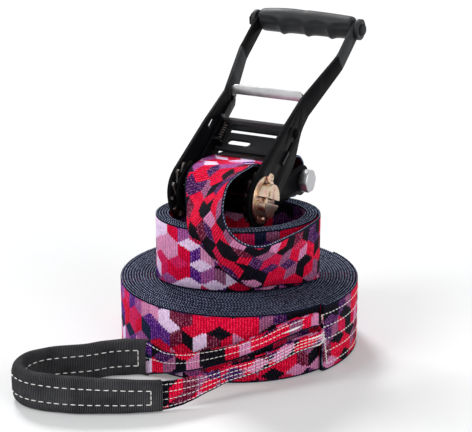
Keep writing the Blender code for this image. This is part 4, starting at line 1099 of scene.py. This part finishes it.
def makeLegStitches():
    bm = bmesh.new()
    chance = random.Random(21)
    parts = legSewing["parts"]
    nearStart = (eye["seamRows"] + 3) * eye["steps"] - 2
    farEnd = len(eyeStations) - 4 * eye["steps"]
    for shares, side, start, end in ((legSewing["nearRows"], 1, nearStart, sleeveFirst + 2),
                                     (legSewing["farRows"], -1, sleeveLast - 2, farEnd)):
        for share in shares:
            points = []
            for step in range(start * parts, end * parts):
                first, second = [legPoint(index, share, side, legSewing["lift"])
                                 for index in (step // parts, step // parts + 1)]
                point = first.lerp(second, step % parts / parts)
                point.z += legSewing["wave"] * sin(step * 1.9 + share * 9)
                points.append(point)
            addStitches(bm, points, legSewing["row"], chance)
    lift, tackLift = legSewing["hookLift"], legSewing["tackLift"]
    hook = [legPoint(nearStart + 9 - 3 * i, 0.34, 1, lift) for i in range(3)]
    hook += [legPoint(nearStart + 1, share, 1, tackLift) for share in (0.26, 0.02, -0.22)]
    hook += [legPoint(nearStart + 4 + 4 * i, -0.40, 1, lift) for i in range(2)]
    threadTube(bm, hook, legSewing["hookThread"])
    tack = [legPoint(farEnd - 2 - 2 * i, 0.0, -1, tackLift) for i in range(4)]
    threadTube(bm, tack, legSewing["tackThread"])
    finishStitches("legStitches", bm)


makeSleeveStitches()
makePanelStitches()
makeLegStitches()
print("stitches ready")


# Dressed copies of the ratchet's rigid pieces, with their edges eased

easing = {
    "merge": 0.004 * mm,
    "flatDeg": 0.6,
    "angleDeg": 32.0,
    "segments": 2,
}
leftSlot = {
    "out": (51.0 * mm, 63.0 * mm),
    "over": (6.2 * mm, 9.0 * mm),
    "middle": 7.6 * mm,
    "widen": 0.8,
}
boltHead = {
    "faceDepth": 0.5 * mm,
    "cornersFrom": 9.0 * mm,
    "raise": 1.0 * mm,
    "round": 2.4 * mm,
}
leftEnd = {
    "seat": 34.15 * mm,
    "shorten": 0.55,
}


def finishPiece(obj, node, body):
    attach(obj, body)
    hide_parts(node)


def dress(node, name, body, slot, material, bevel, shape=None):
    bm = bmesh.new()
    bm.from_mesh(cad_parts[node].data)
    bmesh.ops.remove_doubles(bm, verts=bm.verts, dist=easing["merge"])
    bmesh.ops.dissolve_limit(bm, angle_limit=radians(easing["flatDeg"]), verts=bm.verts,
                             edges=bm.edges)
    if shape:
        shape(bm)
    obj = newObject(name, bm, material)
    if bevel:
        ease = obj.modifiers.new("ease", "BEVEL")
        ease.width = bevel
        ease.segments = easing["segments"]
        ease.limit_method = "ANGLE"
        ease.angle_limit = radians(easing["angleDeg"])
        ease.harden_normals = True
    finishPiece(obj, node, body)
    return obj


# how far out along the handle, over its middle plane and to the side a point lies
def onHandle(place):
    reach = place - spindleAxis
    return reach.dot(alongHandle), reach.dot(overHandle), reach.dot(alongSpindle)


def cutAcross(bm, place, direction, **settings):
    return bmesh.ops.bisect_plane(bm, geom=bm.verts[:] + bm.edges[:] + bm.faces[:],
                                  plane_co=place, plane_no=direction, **settings)


# Arms with two crisp folds instead of one long curve; the left side slot a little wider
def foldArms(bm):
    start, end, oldEnd = armFold["start"], armFold["end"], armFold["oldEnd"]
    cutAcross(bm, spindleAxis + alongHandle * end, alongHandle)
    (outLow, outHigh), (overLow, overHigh) = leftSlot["out"], leftSlot["over"]
    folds = set()
    for vert in bm.verts:
        out, over, side = onHandle(vert.co)
        if out > start - 0.01 * mm:
            old = smoothStep(out, start, oldEnd)
            new = min(max((out - start) / (end - start), 0.0), 1.0)
            vert.co += alongSpindle * copysign(armFold["spread"], side) * (new - old)
            if min(abs(out - start), abs(out - end)) < 0.05 * mm:
                folds.add(vert)
        elif side < 0.0 and outLow < out < outHigh and overLow < over < overHigh:
            vert.co += overHandle * (over - leftSlot["middle"]) * leftSlot["widen"]
    for edge in {edge for vert in folds for edge in vert.link_edges}:
        if folds.issuperset(edge.verts):
            edge.smooth = False
    for face in bm.faces:
        if onHandle(face.calc_center_median())[0] > start:
            face.smooth = False


# The pull bar as a bent plate: low across, round at its outer and inner corners
def shapePullBar(bm):
    rise = pullBar["rise"]
    level = rise.cross(alongSpindle)
    foot = pullBar["foot"] + rise * pullBar["start"]
    cut = cutAcross(bm, foot, rise, clear_outer=True)
    rim = [item for item in cut["geom_cut"] if isinstance(item, bmesh.types.BMEdge)]
    bmesh.ops.holes_fill(bm, edges=rim, sides=0)

    def path(reach, top, radius):
        steps = pullBar["cornerSteps"]
        points = [(reach, 0.0)]
        for i in range(steps + 1):
            angle = pi / 2 * i / steps
            points.append((reach - radius + radius * cos(angle),
                           top - pullBar["start"] - radius + radius * sin(angle)))
        return points + [(-side, up) for side, up in reversed(points)]

    paths = (path(pullBar["half"], pullBar["top"], pullBar["cornerRadius"]),
             path(pullBar["half"] - pullBar["wall"], pullBar["low"], pullBar["innerRadius"]))
    (frontOuter, frontInner), (backOuter, backInner) = [
        [[bm.verts.new(foot + alongSpindle * side + rise * up + level * depth)
          for side, up in points] for points in paths] for depth in (pullBar["front"], 0.0)]
    lines = (frontOuter, frontInner, backInner, backOuter)
    faces = [bm.faces.new((first[i], first[i + 1], second[i + 1], second[i]))
             for i in range(len(frontOuter) - 1)
             for first, second in zip(lines, lines[1:] + lines[:1])]
    faces += [bm.faces.new([line[end] for line in lines]) for end in (0, -1)]
    bmesh.ops.recalc_face_normals(bm, faces=faces)


# The bolt's head stands out a little further and is worn round at its corners
def raiseHead(bm):
    farthest = max(vert.co.dot(alongSpindle) for vert in bm.verts)
    head = [vert for vert in bm.verts
            if vert.co.dot(alongSpindle) > farthest - boltHead["faceDepth"]]
    centre = sum((vert.co for vert in head), Vector()) / len(head)
    corners = []
    for edge in bm.edges:
        run = (edge.verts[1].co - edge.verts[0].co).normalized()
        reach = edge.verts[0].co - centre
        reach -= alongSpindle * reach.dot(alongSpindle)
        if abs(run.dot(alongSpindle)) > 0.99 and reach.length > boltHead["cornersFrom"]:
            corners.append(edge)
    for vert in head:
        vert.co += alongSpindle * boltHead["raise"]
    bmesh.ops.bevel(bm, geom=corners, offset=boltHead["round"], affect="EDGES", segments=3,
                    profile=0.5, material=-1)


# The spindle's left end is cut shorter than its right one
def shortenLeft(bm):
    for vert in bm.verts:
        beyond = -onHandle(vert.co)[2] - leftEnd["seat"]
        if beyond > 0.0:
            vert.co += alongSpindle * beyond * leftEnd["shorten"]


# body, slot and material, then each piece's node, name, bevel in mm and any change of shape
rigidPieces = (
    ("packed_line", "black_painted_steel", blackPaint, ("base_frame", "baseFrame", 0.30)),
    ("packed_line", "zinc_plated_steel", darkSteel, ("spacer_tube", "spacerTube", 0.25)),
    ("packed_line", "zinc_plated_steel", satinZinc,
     ("tail_bolt", "tailBolt", 1.00, raiseHead), ("tail_nut", "tailNut", 0.50)),
    ("stop_pawl", "black_painted_steel", blackPaint, ("stop_pawl", "stopPawl", 0.30)),
    ("spindle", "yellow_zinc_steel", yellowZinc,
     ("spindle_half_upper", "spindleUpper", 0.40, shortenLeft),
     ("spindle_half_lower", "spindleLower", 0.40, shortenLeft)),
    ("spindle", "zinc_plated_steel", darkSteel,
     ("cotter_pin_left", "cotterLeft", 0.0, shortenLeft)),
    ("spindle", "yellow_zinc_steel", darkSteel,
     ("ratchet_wheel_left", "wheelLeft", 0.25), ("ratchet_wheel_right", "wheelRight", 0.25)),
    ("spindle", "yellow_zinc_steel", yellowZinc,
     ("spindle_washer_left", "washerLeft", 0.30), ("spindle_washer_right", "washerRight", 0.30)),
    ("handle", "black_painted_steel", blackPaint,
     ("handle_frame", "handleFrame", 0.35, foldArms),
     ("flange_rivet_left", "rivetLeft", 0.0), ("flange_rivet_right", "rivetRight", 0.0)),
    ("drive_pawl", "zinc_plated_steel", pawlSteel,
     ("drive_pawl", "drivePawl", 0.30, shapePullBar)),
    ("handle", "dark_grey_plastic", gripPlastic,
     ("grip_cap_left", "gripCapLeft", 0.60), ("grip_cap_right", "gripCapRight", 0.60)),
    ("handle", "zinc_plated_steel", blackPaint,
     ("grip_bolt", "gripBolt", 0.25), ("grip_nut", "gripNut", 0.30)),
)
for body, slot, material, *pieces in rigidPieces:
    for node, name, bevel, *shape in pieces:
        dress(node, name, body, slot, material, bevel * mm, *shape)

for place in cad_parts["cotter_pin_right"].material_slots:
    place.material = yellowZinc

# the springs of the two sliding pawls: joint, direction, how far the pawl slides and body
springs = {
    "drive": ("drive_pawl_slide", alongHandle, 8.0 * mm, "handle"),
    "stop": ("stop_pawl_slide", toTheBack, 5.0 * mm, "packed_line"),
}
for kind, (joint, direction, travel, body) in springs.items():
    for side in ("left", "right"):
        spring = dress(f"{kind}_pawl_spring_{side}", f"{kind}Spring{side.title()}", body,
                       "zinc_plated_steel", darkSteel, 0.0)
        reaches = [vert.co.dot(direction) for vert in spring.data.vertices]
        middle = sum((vert.co for vert in spring.data.vertices), Vector()) / len(reaches)
        anchor = middle + direction * (max(reaches) - middle.dot(direction))
        1.0 - travel / (max(reaches) - min(reaches))
        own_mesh(spring)


# The grip: an arched back and four finger hollows between three ridges below it

grip = {
    "distance": 173.0 * mm,
    "over": -1.6 * mm,
    "half": 38.6 * mm,
    "height": 8.3 * mm,
    "depth": 9.5 * mm,
    "squareness": 2.35,
    "bore": 3.9 * mm,
    "crown": 1.9 * mm,
    "crownAt": -0.35,
    "crownTurn": 0.5,
    "ridges": (-0.50, 0.04, 0.55),
    "ridgeWidth": 0.080,
    "hollow": 2.2 * mm,
    "hollowFromDeg": 108.0,
    "hollowEaseDeg": 13.0,
    "ridgeDeg": 20.0,
    "hollowToDeg": (232.0, 262.0),
    "endRound": 0.6 * mm,
    "stations": 72,
    "sides": 48,
    "sharpDeg": 50.0,
}


# radius of the grip, a share of its half length along and an angle round it
def gripReach(share, angle):
    power = grip["squareness"]
    plain = (abs(cos(angle) / grip["height"]) ** power
             + abs(sin(angle) / grip["depth"]) ** power) ** (-1.0 / power)
    turn = degrees(angle) % 360.0
    crownEnd = 1.0 - grip["crownAt"] * copysign(1, share)
    arch = 1.0 - ((share - grip["crownAt"]) / crownEnd) ** 2
    crown = grip["crown"] * max(arch, 0.0) * max(cos(angle - grip["crownTurn"]), 0.0)
    ridge = max(exp(-abs((share - place) / grip["ridgeWidth"]) ** 1.4)
                for place in grip["ridges"])
    crest = grip["hollowFromDeg"] + grip["ridgeDeg"] * ridge ** 0.6
    window = (smoothStep(turn, crest, crest + grip["hollowEaseDeg"])
              * (1.0 - smoothStep(turn, *grip["hollowToDeg"])))
    hollow = grip["hollow"] * (1.0 - ridge) * window
    return plain + crown - hollow - grip["endRound"] * smoothStep(abs(share), 0.96, 1.0)


def gripBore(share, angle):
    return grip["bore"]


def makeGrip():
    bm = bmesh.new()
    centre = spindleAxis + alongHandle * grip["distance"] + overHandle * grip["over"]
    places = [(2.0 * i / grip["stations"] - 1.0, gripReach) for i in range(grip["stations"] + 1)]
    places += [(1.0, gripBore), (-1.0, gripBore)]
    rings = []
    for share, reachAt in places:
        middle = centre + alongSpindle * grip["half"] * share
        ring = []
        for j in range(grip["sides"]):
            angle = fullTurn * j / grip["sides"]
            reach = reachAt(share, angle)
            ring.append(bm.verts.new(middle + alongHandle * reach * cos(angle)
                                     + overHandle * reach * sin(angle)))
        rings.append(ring)
    for ring, following in zip(rings, rings[1:] + rings[:1]):
        joinRings(bm, ring, following)
    bmesh.ops.recalc_face_normals(bm, faces=bm.faces)
    obj = newObject("handleGrip", bm, gripPlastic)
    obj.data.set_sharp_from_angle(angle=radians(grip["sharpDeg"]))
    finishPiece(obj, "handle_grip", "handle")


makeGrip()
print("ratchet ready")
